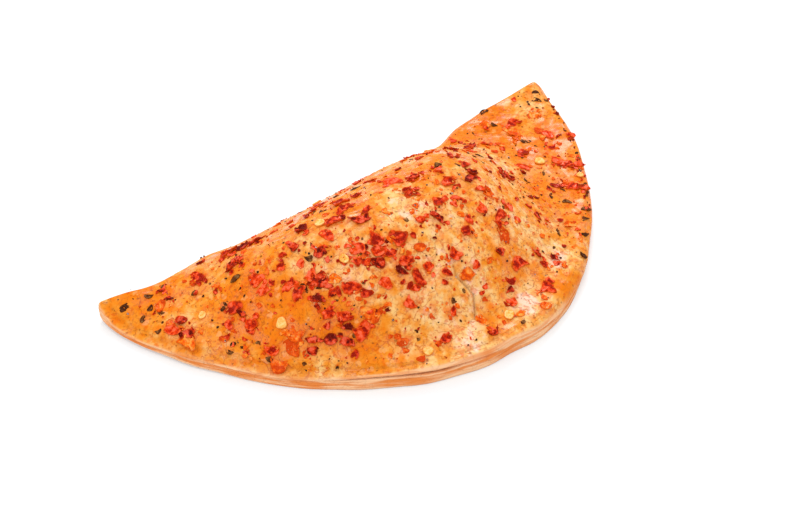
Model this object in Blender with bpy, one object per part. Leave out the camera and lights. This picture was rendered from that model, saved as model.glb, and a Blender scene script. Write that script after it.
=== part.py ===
"""A baked half-moon turnover, an empanada, lying on its flat underside.

One disc of dough is folded over a filling and pressed shut along its round rim, so the body is one piece.
Chilli flakes, chilli seeds and dried herb leaves are baked onto the top and are one solid with it.

Metres, +Z up. +X runs along the folded edge and -Y points at the middle of the sealed rim. The origin lies
on the surface that carries the turnover, under the middle of its box.

In plan, x runs along the fold from the left tip to the right one, and v from the fold out to the rim.
"""

import math
import random

import bmesh
import bpy
import numpy as np
from mathutils import Matrix, Vector, noise

# Driving dimensions
LENGTH = 0.180  # tip to tip, along the fold
DEPTH = 0.093  # from the fold to the middle of the rim
RIM_HEIGHT = 0.0062  # the two pressed sheets of dough
BELLY_RISE = 0.0280  # of the filled belly over the rim
LEFT_RIM_THIN = 0.0019  # how much thinner they are at the left
RIGHT_RIM_THIN = 0.0008
LEFT_TIP_THIN = 0.0023
UNDERCUT = 0.0020  # how far the foot of the rim stands back at the right
BORDER_WIDTH = (0.0035, 0.0090)  # pressed flat along the rim, at the left and at the right
BORDER_HOLLOW = (0.0001, 0.0006)  # how far the dough dips between the border and the belly
FOOT_ROUND = 0.0050  # where the belly rises from the border
RIM_POWER = 1.85  # of the superellipse: 2 is a plain ellipse, less is more pointed
# Where the rim bulges or is drawn in: x, how far out, and half width
RIM_BULGES = ((0.020, 0.0014, 0.032), (-0.052, -0.0014, 0.016), (-0.075, -0.0024, 0.014),
              (0.070, -0.0022, 0.013), (0.002, -0.0009, 0.008))
RIM_WOBBLE = 0.010
FOLD_DRAW_IN = 0.0055  # how far the filling draws the folded edge in
WING_DRAW_IN = (0.0009, 0.068, 0.018)  # how far the right wing is drawn in, its middle and half width
FOLD_ROLL = 0.0024  # how much thicker the fold is past the filling, towards the tips
TIP_ROUNDING = 0.0036
RIGHT_TIP_LIFT = 0.0007
LEFT_TIP_LIFT = 0.0009

# The belly
BELLY_CENTRE_X = -0.005
BELLY_REACH = {"left": (0.068, 3.2), "right": (0.049, 4.1)}  # half width and sharpness of its shoulders
BACK_SLOPE = 0.038  # from the fold up to the ridge
FRONT_SLOPE = 0.041  # from the border up to the ridge
FRONT_SWEEP = 0.90  # over 1, the front slope runs out in a toe
SWELL_SIZE = 0.030
SWELL_HEIGHT = 0.0016

# The pleat in the front, where the dough has folded over itself
PLEAT_START = 0.065
PLEAT_END = 0.0905
PLEAT_X = -0.0030
PLEAT_WIDTH = 0.0017
PLEAT_DEPTH = 0.0013
PLEAT_BULGE = 0.0010

# Mesh
SEGMENTS = 112  # round the outline
TOP_RINGS = 16
HUB_SHARE = 0.42  # of the depth, where the rings have their centre

# Edge profiles from the top inwards edge down to the base: (inset, share of the edge's height)
RIM_PROFILE = ((0.0020, 1.00), (0.0006, 0.96), (0.0000, 0.88), (0.0012, 0.76), (0.0001, 0.66), (0.0001, 0.42),
               (0.0001, 0.18), (0.0010, 0.00))
FOLD_PROFILE = ((0.0020, 1.00), (0.0008, 0.86), (0.0002, 0.70), (0.0000, 0.55), (0.0001, 0.44), (0.0003, 0.33),
                (0.0009, 0.15), (0.0022, 0.00))

# The largest toppings, in millimetres: x, v, length, width, and the turn of the length from x towards v
LARGE_TOPPINGS = {
    "red": ((-18, 33, 7.0, 3.6, 10), (-26, 40, 6.5, 3.4, 30), (-31, 43, 6.0, 4.0, 80), (-50, 17, 6.0, 3.2, 10),
            (-62, 18, 6.0, 4.6, 30), (-62, 37, 6.5, 5.0, 40), (-53, 36, 5.5, 4.4, 60), (-48, 46, 6.5, 3.8, 0),
            (-34, 58, 6.2, 4.6, 20), (-25, 63, 5.0, 3.6, 70), (-20, 53, 6.0, 4.0, 60), (-14, 56, 6.4, 5.2, 40),
            (-15, 67, 6.5, 3.4, 100), (-21, 70, 5.0, 3.4, 90), (-38, 68, 7.0, 4.6, 10), (-43, 59, 4.8, 3.8, 0),
            (-78, 27, 6.0, 4.2, 50), (-62, 45, 5.2, 4.2, 20), (-17, 82, 4.6, 3.0, 20), (23, 83, 5.6, 4.4, 30),
            (19, 74, 8.0, 4.6, 5), (22, 61, 6.0, 3.4, 0), (12, 47, 5.0, 3.6, 10), (-2, 37, 6.2, 4.8, 20),
            (4, 52, 5.0, 3.6, 40), (75, 23, 7.0, 3.6, 70), (62, 26, 4.6, 3.2, 30), (70, 40, 4.6, 3.4, 60),
            (64, 50, 5.0, 3.6, 60), (17, 22, 5.0, 4.0, 0), (-1, 67, 4.6, 3.4, 70)),
    "dark": ((-20, 45, 8.0, 3.6, 20), (-36, 45, 5.2, 4.0, 60), (-40, 52, 8.5, 6.5, 60), (-23, 58, 5.2, 4.0, 20),
             (-19, 63, 5.4, 2.4, 80), (-54, 25, 5.2, 3.8, 30), (-46, 64, 4.6, 3.8, 40), (20, 48, 7.0, 2.6, -5),
             (0, 56, 6.0, 2.2, 70), (41, 43, 5.0, 2.2, 40), (59, 46, 4.8, 2.8, 60), (39, 60, 4.2, 2.6, 70)),
    "orange": ((-33, 66, 6.2, 4.4, 60), (-77, 33, 7.0, 4.5, 60), (-56, 58, 6.0, 4.6, 70), (66, 16, 8.0, 4.0, 70),
               (19, 66, 6.4, 5.0, 80), (23, 54, 6.6, 4.2, 30), (-3, 82, 7.2, 4.4, 80)),
    "seed": ((-55, 51, 4.8, 3.6, 60), (-30, 37, 4.4, 3.2, 20), (-24, 82, 4.4, 3.0, 20), (5, 85, 4.6, 3.4, 30),
             (63, 33, 5.0, 4.0, 40)),
    "herb": ((-56, 30, 5.0, 2.2, 20), (67, 22, 4.6, 2.4, 50), (-84, 9, 3.4, 2.6, 0), (83, 9, 3.6, 2.4, 30)),
}

# The others: the share of each kind, its length in millimetres and how wide it is for its length
SMALL_COUNT = 76
SMALL_KINDS = {"red": (0.42, (2.6, 4.2), (0.55, 0.85)), "orange": (0.16, (2.8, 4.4), (0.60, 0.85)),
               "dark": (0.14, (2.6, 4.2), (0.45, 0.75)), "seed": (0.03, (3.4, 4.2), (0.68, 0.82)),
               "herb": (0.25, (2.4, 4.0), (0.35, 0.60))}
PROUD = {"red": 1.10, "dark": 1.30, "orange": 0.90, "seed": 1.00, "herb": 0.60}  # millimetres over the crust
TOPPING_SINK = 0.0008
TOPPING_GAP = 0.0012
TOPPING_RIM_GAP = 0.0090
TOPPING_FOLD_GAP = 0.0045
TOPPING_SEED = 11

MILLIMETRE = 0.001
CRUST_COLOUR = (0.79, 0.33, 0.085, 1.0)
CRUST_ROUGHNESS = 0.32


def smooth(t):
    """0 to 1 as t goes from 0 to 1, level at both ends."""
    t = min(1.0, max(0.0, t))
    return t * t * (3 - 2 * t)


def bell(t):
    return math.exp(-t * t)


def left_to_right(x, pair):
    """From the first value at the left end to the second one in the right half."""
    low, high = pair
    return low + (high - low) * smooth((x + 0.065) / 0.060)


def fold_line(x):
    """How far the folded edge lies in from the line between the tips: drawn in as far as the filling reaches."""
    wing, wing_x, wing_width = WING_DRAW_IN
    drawn_in = FOLD_DRAW_IN * smooth((0.056 - x) / 0.017) * smooth((x + 0.092) / 0.020)
    return drawn_in + wing * bell((x - wing_x) / wing_width) * smooth((0.088 - x) / 0.010)


def tip_lift(x):
    """The tips curl up a little off the surface."""
    lift = RIGHT_TIP_LIFT if x > 0 else LEFT_TIP_LIFT
    return lift * smooth((abs(x) / (LENGTH / 2) - 0.72) / 0.28)


def from_rim(x, v):
    """About how far the point lies in from the rim."""
    reach = (2 * abs(x) / LENGTH) ** RIM_POWER + (max(v, 0.0) / DEPTH) ** RIM_POWER
    return max(0.0, 1 - reach ** (1 / RIM_POWER)) * LENGTH / 2


def from_fold(x, v):
    return max(0.0, v - fold_line(x))


def pleat(x, v):
    """A groove that runs up from the rim, with the dough bulged out on its left."""
    along = (v - PLEAT_START) / (PLEAT_END - PLEAT_START)
    right = x - PLEAT_X
    strength = smooth(along * 3) * smooth((1 - along) * 6)
    return strength * (PLEAT_BULGE * bell((right + 0.0070) / 0.0055) - PLEAT_DEPTH * bell(right / PLEAT_WIDTH))


def thinning(x, rim, fold):
    """How much thinner the pressed dough is at the left, the right and the left tip."""
    left = LEFT_RIM_THIN * smooth((-0.010 - x) / 0.050) * bell(rim / 0.007)
    right = RIGHT_RIM_THIN * smooth((x - 0.030) / 0.030) * bell(rim / 0.010)
    return (left + right) * smooth(fold / 0.012) + LEFT_TIP_THIN * smooth((-0.078 - x) / 0.012)


def crust_height(x, v):
    """The top of the crust."""
    rim, fold = from_rim(x, v), from_fold(x, v)
    reach, sharpness = BELLY_REACH["left" if x < BELLY_CENTRE_X else "right"]
    along = math.exp(-(abs(x - BELLY_CENTRE_X) / reach) ** sharpness)
    border = left_to_right(x, BORDER_WIDTH)
    foot = (rim - border + math.hypot(rim - border, FOOT_ROUND)) / 2
    front = math.sin(math.pi / 2 * min(1.0, foot / FRONT_SLOPE)) ** FRONT_SWEEP
    back = math.sin(math.pi / 2 * min(1.0, fold / BACK_SLOPE))
    belly = BELLY_RISE * along * front * back
    roll = FOLD_ROLL * smooth((abs(x - 0.007) - 0.047) / 0.014) * bell(fold / 0.012)
    hollow = left_to_right(x, BORDER_HOLLOW) * bell((rim - border - 0.002) / 0.005) * smooth(fold / 0.020)
    swell = SWELL_HEIGHT * noise.noise(Vector((x / SWELL_SIZE + 3.7, v / SWELL_SIZE + 1.3, 0.5)))
    swell *= smooth(rim / 0.020) * smooth(fold / 0.015)
    return RIM_HEIGHT + belly + roll - hollow - thinning(x, rim, fold) + swell + pleat(x, v) + tip_lift(x)


def sharp_outline(count):
    """The outline with square tips, as (x, v, rimness): the rim from the right tip to the left, then the fold."""
    points = []
    for i in range(count):
        turn = math.pi * i / count
        x = LENGTH / 2 * math.copysign(abs(math.cos(turn)) ** (2 / RIM_POWER), math.cos(turn))
        points.append((x, DEPTH * math.sin(turn) ** (2 / RIM_POWER), 1.0))
    for i in range(count):
        x = LENGTH * (i / count - 0.5)
        points.append((x, fold_line(x), 0.0))
    return np.array(points)


def evenly_spaced(points, count):
    """The closed line through the points again, as count points the same distance apart."""
    closed = np.vstack([points, points[:1]])
    steps = np.hypot(*np.diff(closed[:, :2], axis=0).T)
    walked = np.concatenate([[0.0], np.cumsum(steps)])
    wanted = np.linspace(0, walked[-1], count, endpoint=False)
    return np.stack([np.interp(wanted, walked, column) for column in closed.T], axis=1)


def outline(count):
    """The outline with rounded tips: count rows of x, v, rimness and the inward normal's x and v."""
    dense = evenly_spaced(sharp_outline(900), 1200)
    perimeter = np.hypot(*np.diff(dense[:, :2], axis=0).T).sum()
    reach = max(1, round(TIP_ROUNDING / perimeter * len(dense)))
    rounded = np.mean([np.roll(dense, shift, axis=0) for shift in range(-reach, reach + 1)], axis=0)
    for i, (x, v, _) in enumerate(rounded):
        out = 1 + RIM_WOBBLE * noise.noise(Vector((x / 0.022, v / 0.022, 7.1)))
        for middle, height, width in RIM_BULGES:
            out += height / DEPTH * bell((x - middle) / width) * smooth(v / DEPTH * 2)
        rounded[i, :2] = x * out, v * out
    rounded[:, 0] = np.interp(rounded[:, 0], (rounded[:, 0].min(), rounded[:, 0].max()), (-LENGTH / 2, LENGTH / 2))
    rounded[:, 1] = np.interp(rounded[:, 1], (rounded[:, 1].min(), rounded[:, 1].max()), (0, DEPTH))
    points = evenly_spaced(rounded, count)
    along = np.roll(points[:, :2], -1, axis=0) - np.roll(points[:, :2], 1, axis=0)
    along /= np.hypot(*along.T)[:, None]
    return np.hstack([points, np.stack([-along[:, 1], along[:, 0]], axis=1)])


def to_world(x, v, z):
    return Vector((x, DEPTH / 2 - v, z))


def edge_point(row, x, v, rimness):
    """The inset and height of one row of the edge, between the rim's profile and the fold's."""
    inset = rimness * RIM_PROFILE[row][0] + (1 - rimness) * FOLD_PROFILE[row][0]
    share = rimness * RIM_PROFILE[row][1] + (1 - rimness) * FOLD_PROFILE[row][1]
    inset += UNDERCUT * smooth((x - 0.025) / 0.035) * smooth(v / 0.020) * (1 - share) ** 1.5
    base = tip_lift(x)
    return inset, base + (crust_height(x, v) - base) * share


def build_crust(collection):
    """A sphere's rings laid onto the half-moon: the upper ones make the top, then come the edge and the base."""
    edge = outline(SEGMENTS)
    last_edge_ring = TOP_RINGS + len(RIM_PROFILE)
    rings = last_edge_ring + 1
    hub_v = HUB_SHARE * DEPTH
    bm = bmesh.new()
    bmesh.ops.create_uvsphere(bm, u_segments=SEGMENTS, v_segments=rings + 1, radius=1.0)
    for vert in bm.verts:
        ring = round(math.acos(max(-1.0, min(1.0, vert.co.z))) / math.pi * (rings + 1))
        if ring in (0, rings + 1):
            vert.co = to_world(0.0, hub_v, crust_height(0.0, hub_v) if ring == 0 else 0.0)
            continue
        step = round(math.atan2(vert.co.y, vert.co.x) / (2 * math.pi) * SEGMENTS) % SEGMENTS
        edge_x, edge_v, rimness, inward_x, inward_v = edge[-step]
        share = min(1.0, ring / (TOP_RINGS + 1)) if ring < rings else 0.9
        row = min(max(ring - TOP_RINGS - 1, 0), len(RIM_PROFILE) - 1)
        inset, height = edge_point(row, edge_x, edge_v, rimness)
        x = share * (edge_x + inset * inward_x)
        v = hub_v + share * (edge_v + inset * inward_v - hub_v)
        if ring <= TOP_RINGS:
            height = crust_height(x, v)
        elif ring == rings:
            height = 0.3 * tip_lift(x)
        vert.co = to_world(x, v, height)
    bmesh.ops.triangulate(bm, faces=bm.faces)
    bmesh.ops.recalc_face_normals(bm, faces=bm.faces)
    return new_object("pastry", bm, collection)


def new_object(name, bm, collection):
    mesh = bpy.data.meshes.new(name)
    bm.to_mesh(mesh)
    bm.free()
    item = bpy.data.objects.new(name, mesh)
    collection.objects.link(item)
    return item


def room_for(x, v, length, placed):
    """Whether a topping of this length fits between the placed ones, off the rim and the fold."""
    if from_rim(x, v) < TOPPING_RIM_GAP or from_fold(x, v) < TOPPING_FOLD_GAP:
        return False
    return all(math.hypot(x - other[1], v - other[2]) > (length + other[3]) / 2 + TOPPING_GAP for other in placed)


def topping_places():
    """Every topping as kind, x, v, length, width and turn: the listed ones, then the small ones by a seeded rule."""
    placed = []
    for kind, rows in LARGE_TOPPINGS.items():
        for x, v, length, width, turn in rows:
            placed.append((kind, x * MILLIMETRE, v * MILLIMETRE, length * MILLIMETRE, width * MILLIMETRE,
                           math.radians(turn)))
    rng = random.Random(TOPPING_SEED)
    kinds, shares = list(SMALL_KINDS), [row[0] for row in SMALL_KINDS.values()]
    wanted = len(placed) + SMALL_COUNT
    while len(placed) < wanted:
        x, v = rng.uniform(-0.5, 0.5) * LENGTH, rng.uniform(0.0, 1.0) * DEPTH
        kind = rng.choices(kinds, shares)[0]
        _, lengths, widths = SMALL_KINDS[kind]
        length = rng.uniform(*lengths) * MILLIMETRE
        width, turn = rng.uniform(*widths) * length, rng.uniform(0.0, math.pi)
        if room_for(x, v, length, placed):
            placed.append((kind, x, v, length, width, turn))
    return placed


def seat(x, v, turn):
    """A frame on the crust: its z along the surface's normal and its x along the turn."""
    step = 0.0008
    slope_x = (crust_height(x + step, v) - crust_height(x - step, v)) / (2 * step)
    slope_v = (crust_height(x, v + step) - crust_height(x, v - step)) / (2 * step)
    normal = Vector((-slope_x, slope_v, 1.0)).normalized()
    along = Vector((math.cos(turn), -math.sin(turn), 0.0))
    along = (along - normal * along.dot(normal)).normalized()
    frame = Matrix((along, normal.cross(along), normal)).transposed().to_4x4()
    frame.translation = to_world(x, v, crust_height(x, v))
    return frame


def build_topping(place, rng, collection):
    """A low stone with uneven sides, its foot sunk in the crust."""
    kind, x, v, length, width, turn = place
    sides = 6 if length > 0.0045 else 5
    proud = PROUD[kind] * MILLIMETRE * rng.uniform(0.85, 1.15)
    bm = bmesh.new()
    rings = []
    radii = [rng.uniform(0.82, 1.12) for _ in range(sides)]
    for height, spread in ((-TOPPING_SINK, 0.90), (0.62 * proud, 0.84)):
        ring = []
        for i, radius in enumerate(radii):
            angle = 2 * math.pi * i / sides
            ring.append(bm.verts.new((length / 2 * spread * radius * math.cos(angle),
                                      width / 2 * spread * radius * math.sin(angle), height)))
        rings.append(ring)
    top = bm.verts.new((rng.uniform(-0.15, 0.15) * length, rng.uniform(-0.15, 0.15) * width, proud))
    bm.faces.new(reversed(rings[0]))
    for i in range(sides):
        j = (i + 1) % sides
        bm.faces.new((rings[0][i], rings[0][j], rings[1][j], rings[1][i]))
        bm.faces.new((rings[1][i], rings[1][j], top))
    bmesh.ops.transform(bm, matrix=seat(x, v, turn), verts=bm.verts)
    bmesh.ops.triangulate(bm, faces=bm.faces)
    new_object("topping", bm, collection)


def fuse(body, toppings):
    """Join the collection's objects to the body by one union, and remove them."""
    union = body.modifiers.new("toppings", "BOOLEAN")
    union.operation = "UNION"
    union.operand_type = "COLLECTION"
    union.collection = toppings
    union.solver = "MANIFOLD"
    bpy.context.view_layer.update()
    fused = bpy.data.meshes.new_from_object(body.evaluated_get(bpy.context.evaluated_depsgraph_get()))
    body.modifiers.remove(union)
    body.data = fused
    for item in list(toppings.objects):
        bpy.data.objects.remove(item)
    bpy.data.collections.remove(toppings)


def finish_mesh(body):
    bm = bmesh.new()
    bm.from_mesh(body.data)
    bmesh.ops.triangulate(bm, faces=bm.faces)
    for face in bm.faces:
        face.smooth = True
    bm.to_mesh(body.data)
    bm.free()
    body.data.name = "pastry"


def crust_material():
    material = bpy.data.materials.new("baked_crust")
    material.use_nodes = True
    shader = material.node_tree.nodes["Principled BSDF"]
    shader.inputs["Base Color"].default_value = CRUST_COLOUR
    shader.inputs["Roughness"].default_value = CRUST_ROUGHNESS
    shader.inputs["Metallic"].default_value = 0.0
    material.diffuse_color = CRUST_COLOUR
    return material


def clear_scene():
    for item in list(bpy.data.objects):
        bpy.data.objects.remove(item)


def new_collection(name):
    collection = bpy.data.collections.new(name)
    bpy.context.scene.collection.children.link(collection)
    return collection


def main():
    clear_scene()
    body = build_crust(new_collection("Empanada"))
    toppings = new_collection("Toppings")
    rng = random.Random(TOPPING_SEED)
    for place in topping_places():
        build_topping(place, rng, toppings)
    fuse(body, toppings)
    finish_mesh(body)
    body.data.materials.clear()
    body.data.materials.append(crust_material())


main()
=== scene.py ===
import math
import random

import bpy
import numpy as np
from mathutils import Matrix, Vector, noise


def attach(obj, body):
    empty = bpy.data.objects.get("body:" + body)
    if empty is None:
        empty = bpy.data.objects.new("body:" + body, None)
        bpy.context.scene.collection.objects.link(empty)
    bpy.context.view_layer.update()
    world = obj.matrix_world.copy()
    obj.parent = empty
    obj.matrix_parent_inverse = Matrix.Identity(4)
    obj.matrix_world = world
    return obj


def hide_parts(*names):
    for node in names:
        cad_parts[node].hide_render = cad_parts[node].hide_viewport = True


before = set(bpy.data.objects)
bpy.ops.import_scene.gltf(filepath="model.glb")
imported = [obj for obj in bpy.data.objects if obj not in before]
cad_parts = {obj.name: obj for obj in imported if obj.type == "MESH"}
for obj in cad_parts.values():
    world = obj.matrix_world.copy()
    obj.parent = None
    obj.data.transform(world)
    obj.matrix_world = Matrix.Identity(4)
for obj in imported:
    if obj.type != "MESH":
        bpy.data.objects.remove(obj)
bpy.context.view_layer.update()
mm = 0.001
print("frame loaded")


# ---- the turnover's form, in plan: x runs along the fold, v from the fold out to the rim

turnover = {
    "length": 180 * mm,
    "depth": 93 * mm,
    "rimHeight": 6.2 * mm,  # the two pressed sheets of dough
    # how much thinner they are, from which x and over what length, and how far in
    "rimThin": ((1.9 * mm, -10 * mm, -50 * mm, 7 * mm), (0.8 * mm, 30 * mm, 30 * mm, 10 * mm)),
    "leftTipThin": (2.3 * mm, -78 * mm, -12 * mm),
    "undercut": (2.4 * mm, 25 * mm, 35 * mm),  # how far the foot stands back at the right
    "bellyRise": 27.7 * mm,
    "borderWidth": (3.5 * mm, 9 * mm),  # at the left and at the right
    "borderHollow": (0.1 * mm, 0.6 * mm),
    "footRound": 5 * mm,
    "rimPower": 1.85,  # 2 is a plain ellipse, less is more pointed
    # x, how far out and half width, in millimetres
    "rimBulges": ((20, 1.4, 32), (-52, -1.4, 16), (-75, -2.4, 14), (70, -1.4, 13), (2, -0.9, 8)),
    "rimWobble": 0.010,
    "foldDrawIn": 5.5 * mm,
    "foldEnds": (56 * mm, -17 * mm, -92 * mm, 20 * mm),  # from which x and over what length, twice
    "wingDrawIn": (0.9 * mm, 68 * mm, 18 * mm),  # how much, middle and half width
    "wingEnd": (88 * mm, -10 * mm),
    "foldRoll": (2.4 * mm, 7 * mm, 47 * mm, 14 * mm),  # how high, middle, how far off it starts, length
    "tipRounding": 3.6 * mm,
    "clear": 0.15 * mm,  # left all round, inside the solid's box
    "rightTipLift": 0.7 * mm,
    "leftTipLift": 0.9 * mm,
    "bellyCentreX": -5 * mm,
    "bellyReach": {"left": (68 * mm, 3.2), "right": (49 * mm, 4.1)},  # half width and sharpness
    "backSlope": 38 * mm,
    "frontSlope": 41 * mm,
    "frontSweep": 0.90,
    "swellSize": 30 * mm,
    "swellHeight": 1.6 * mm,
    "pleatStart": 65 * mm,
    "pleatEnd": 90.5 * mm,
    # v and x of the pleat's line, in millimetres
    "pleatLine": ((64, -2.4), (68, -3.1), (71, -4.1), (73.5, -2.9), (76.5, -1.7), (79, -3.3), (81.5, -5.0),
                  (84, -3.2), (88.7, -1.4)),
    "pleatWidth": 0.8 * mm,
    "pleatDepth": 0.8 * mm,
    "pleatStep": 0.6 * mm,
    "pleatBulge": (1.0 * mm, -7 * mm, 5.5 * mm),  # how high, how far to the right and half width
    # how deep, how far to the right and half width, v and half width
    "notch": (1.0 * mm, 2.2 * mm, 2.6 * mm, 80.5 * mm, 3.2 * mm),
}


def smooth(t):
    t = min(1.0, max(0.0, t))
    return t * t * (3 - 2 * t)


def rise(value, start, length):
    # from 0 at the start to 1 past the length, which is negative for the other way
    return smooth((value - start) / length)


def bell(t):
    return math.exp(-t * t)


def patchy(x, v, size, seed):
    # a noise from about -1 to 1 with patches of that size
    return noise.noise(Vector((x / size, v / size, seed)))


def nearby(x, v, middleX, middleV, radius):
    # 1 at a place given in millimetres, and less away from it
    return bell(math.hypot(x / mm - middleX, v / mm - middleV) / radius)


def foldLine(x):
    t = turnover
    rightStart, rightLength, leftStart, leftLength = t["foldEnds"]
    drawnIn = t["foldDrawIn"] * rise(x, rightStart, rightLength) * rise(x, leftStart, leftLength)
    wing, wingX, wingWidth = t["wingDrawIn"]
    return drawnIn + wing * bell((x - wingX) / wingWidth) * rise(x, *t["wingEnd"])


def tipLift(x):
    lift = turnover["rightTipLift"] if x > 0 else turnover["leftTipLift"]
    return lift * rise(abs(x) / (turnover["length"] / 2), 0.72, 0.28)


def fromRim(x, v):
    power = turnover["rimPower"]
    reach = (2 * abs(x) / turnover["length"]) ** power + (max(v, 0.0) / turnover["depth"]) ** power
    return max(0.0, 1 - reach ** (1 / power)) * turnover["length"] / 2


def fromFold(x, v):
    return max(0.0, v - foldLine(x))


def pleatAlong(v):
    return (v - turnover["pleatStart"]) / (turnover["pleatEnd"] - turnover["pleatStart"])


def pleatRight(x, v):
    places, offsets = zip(*turnover["pleatLine"])
    return x - float(np.interp(v / mm, places, offsets)) * mm


def pleatStrength(v):
    along = pleatAlong(v)
    return smooth(along * 3) * smooth((1 - along) * 6)


def pleat(x, v):
    t = turnover
    strength = pleatStrength(v)
    if strength == 0.0:
        return 0.0
    right = pleatRight(x, v)
    high, bulgeRight, bulgeWidth = t["pleatBulge"]
    deep, notchRight, notchWidth, notchV, notchLength = t["notch"]
    raised = high * bell((right - bulgeRight) / bulgeWidth)
    lowered = t["pleatDepth"] * bell(right / t["pleatWidth"])
    lowered += t["pleatStep"] * smooth(right / (1.5 * mm) + 0.5) * bell(right / (6 * mm))
    lowered += deep * bell((right - notchRight) / notchWidth) * bell((v - notchV) / notchLength)
    return strength * (raised - lowered)


def leftToRight(x, pair):
    low, high = pair
    return low + (high - low) * rise(x, -65 * mm, 60 * mm)


def crustHeight(x, v):
    t = turnover
    rim, fold = fromRim(x, v), fromFold(x, v)
    reach, sharpness = t["bellyReach"]["left" if x < t["bellyCentreX"] else "right"]
    along = math.exp(-(abs(x - t["bellyCentreX"]) / reach) ** sharpness)
    border = leftToRight(x, t["borderWidth"])
    foot = (rim - border + math.hypot(rim - border, t["footRound"])) / 2
    front = math.sin(math.pi / 2 * min(1.0, foot / t["frontSlope"])) ** t["frontSweep"]
    back = math.sin(math.pi / 2 * min(1.0, fold / t["backSlope"]))
    belly = t["bellyRise"] * along * front * back
    rollHeight, rollX, rollStart, rollLength = t["foldRoll"]
    roll = rollHeight * rise(abs(x - rollX), rollStart, rollLength) * bell(fold / (12 * mm))
    hollow = leftToRight(x, t["borderHollow"]) * bell((rim - border - 2 * mm) / (5 * mm))
    hollow *= rise(fold, 0, 20 * mm)
    thin = sum(amount * rise(x, start, length) * bell(rim / inward)
               for amount, start, length, inward in t["rimThin"]) * rise(fold, 0, 12 * mm)
    amount, start, length = t["leftTipThin"]
    thin += amount * rise(x, start, length)
    size = t["swellSize"]
    swell = t["swellHeight"] * patchy(x + 3.7 * size, v + 1.3 * size, size, 0.5)
    swell *= rise(rim, 0, 20 * mm) * rise(fold, 0, 15 * mm)
    return t["rimHeight"] + belly + roll - hollow - thin + swell + pleat(x, v) + tipLift(x)


def undercut(x, v, share):
    # the foot of the rim stands further back towards the right tip
    amount, start, length = turnover["undercut"]
    return amount * rise(x, start, length) * rise(v, 0, 20 * mm) * (1 - share) ** 1.5


def sharpOutline(count):
    # the rim from the right tip to the left, then the fold: x, v and how much it is rim
    points = []
    power = 2 / turnover["rimPower"]
    for i in range(count):
        turn = math.pi * i / count
        x = turnover["length"] / 2 * math.copysign(abs(math.cos(turn)) ** power, math.cos(turn))
        points.append((x, turnover["depth"] * math.sin(turn) ** power, 1.0))
    for i in range(count):
        x = turnover["length"] * (i / count - 0.5)
        points.append((x, foldLine(x), 0.0))
    return np.array(points)


def evenlySpaced(points, count):
    closed = np.vstack([points, points[:1]])
    steps = np.hypot(*np.diff(closed[:, :2], axis=0).T)
    walked = np.concatenate([[0.0], np.cumsum(steps)])
    wanted = np.linspace(0, walked[-1], count, endpoint=False)
    return np.stack([np.interp(wanted, walked, column) for column in closed.T], axis=1)


def spread(values, low, high):
    return np.interp(values, (values.min(), values.max()), (low, high))


def letOut(x, v):
    # how much larger the outline is there than the plain form
    depth = turnover["depth"]
    out = 1 + turnover["rimWobble"] * patchy(x, v, 22 * mm, 7.1)
    for middle, height, width in turnover["rimBulges"]:
        out += height * mm / depth * bell((x / mm - middle) / width) * rise(v, 0, depth / 2)
    return out


def outline(count):
    # x, v, how much it is rim, and the inward normal
    dense = evenlySpaced(sharpOutline(900), 1200)
    perimeter = np.hypot(*np.diff(dense[:, :2], axis=0).T).sum()
    reach = max(1, round(turnover["tipRounding"] / perimeter * len(dense)))
    rounded = np.mean([np.roll(dense, shift, axis=0) for shift in range(-reach, reach + 1)], axis=0)
    for i, (x, v, _) in enumerate(rounded):
        rounded[i, :2] = x * letOut(x, v), v * letOut(x, v)
    clear = turnover["clear"]
    rounded[:, 0] = spread(rounded[:, 0], clear - turnover["length"] / 2, turnover["length"] / 2 - clear)
    rounded[:, 1] = spread(rounded[:, 1], clear, turnover["depth"] - clear)
    points = evenlySpaced(rounded, count)
    along = np.roll(points[:, :2], -1, axis=0) - np.roll(points[:, :2], 1, axis=0)
    along /= np.hypot(*along.T)[:, None]
    return np.hstack([points, np.stack([-along[:, 1], along[:, 0]], axis=1)])


def toWorld(x, v, z):
    return Vector((x, turnover["depth"] / 2 - v, z))


# ---- the baked dough's fine relief, on top of the form

dough = {
    "lumpSize": 9 * mm,
    "lumpHeight": 0.50 * mm,
    "rippleSize": 2.6 * mm,
    "rippleHeight": 0.20 * mm,
    "blisterSpacing": 7 * mm,
    "blisterHeight": 0.45 * mm,
    "wrinkleLength": 2.1 * mm,  # from one wrinkle to the next
    "wrinkleHeight": 0.17 * mm,
    # middle and radius in millimetres, and the direction across the wrinkles
    "wrinkleSpots": (
        (62, 16, 14, -0.59, 0.81), (34, 34, 14, -0.45, 0.89), (-70, 12, 10, -0.59, 0.81),
        (-10, 74, 9, 0.97, 0.24), (18, 70, 10, 0.90, -0.44), (-46, 30, 12, -0.70, 0.71),
        (-20, 34, 16, -0.25, 0.97), (12, 32, 16, -0.10, 0.99), (50, 20, 14, -0.45, 0.89),
    ),
}


def blisters(x, v):
    spacing = dough["blisterSpacing"]
    distances, points = noise.voronoi(Vector((x / spacing, v / spacing, 0.2)))
    kept = noise.cell(points[0] * 7.3) > 0.10
    size = 0.16 + 0.14 * abs(noise.cell(points[0] * 3.1))
    return bell(distances[0] / size) if kept else 0.0


def wrinkles(x, v):
    height = 0.0
    for middleX, middleV, radius, acrossX, acrossV in dough["wrinkleSpots"]:
        amount = nearby(x, v, middleX, middleV, radius)
        if amount > 0.03:
            bend = patchy(x, v, 9 * mm, middleX * 0.09)
            broken = smooth(0.5 + 1.6 * patchy(x, v, 4.5 * mm, middleV * 0.09))
            across = (x * acrossX + v * acrossV) / dough["wrinkleLength"]
            height += amount * broken * math.sin(2 * math.pi * across + bend * 7)
    return height


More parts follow.
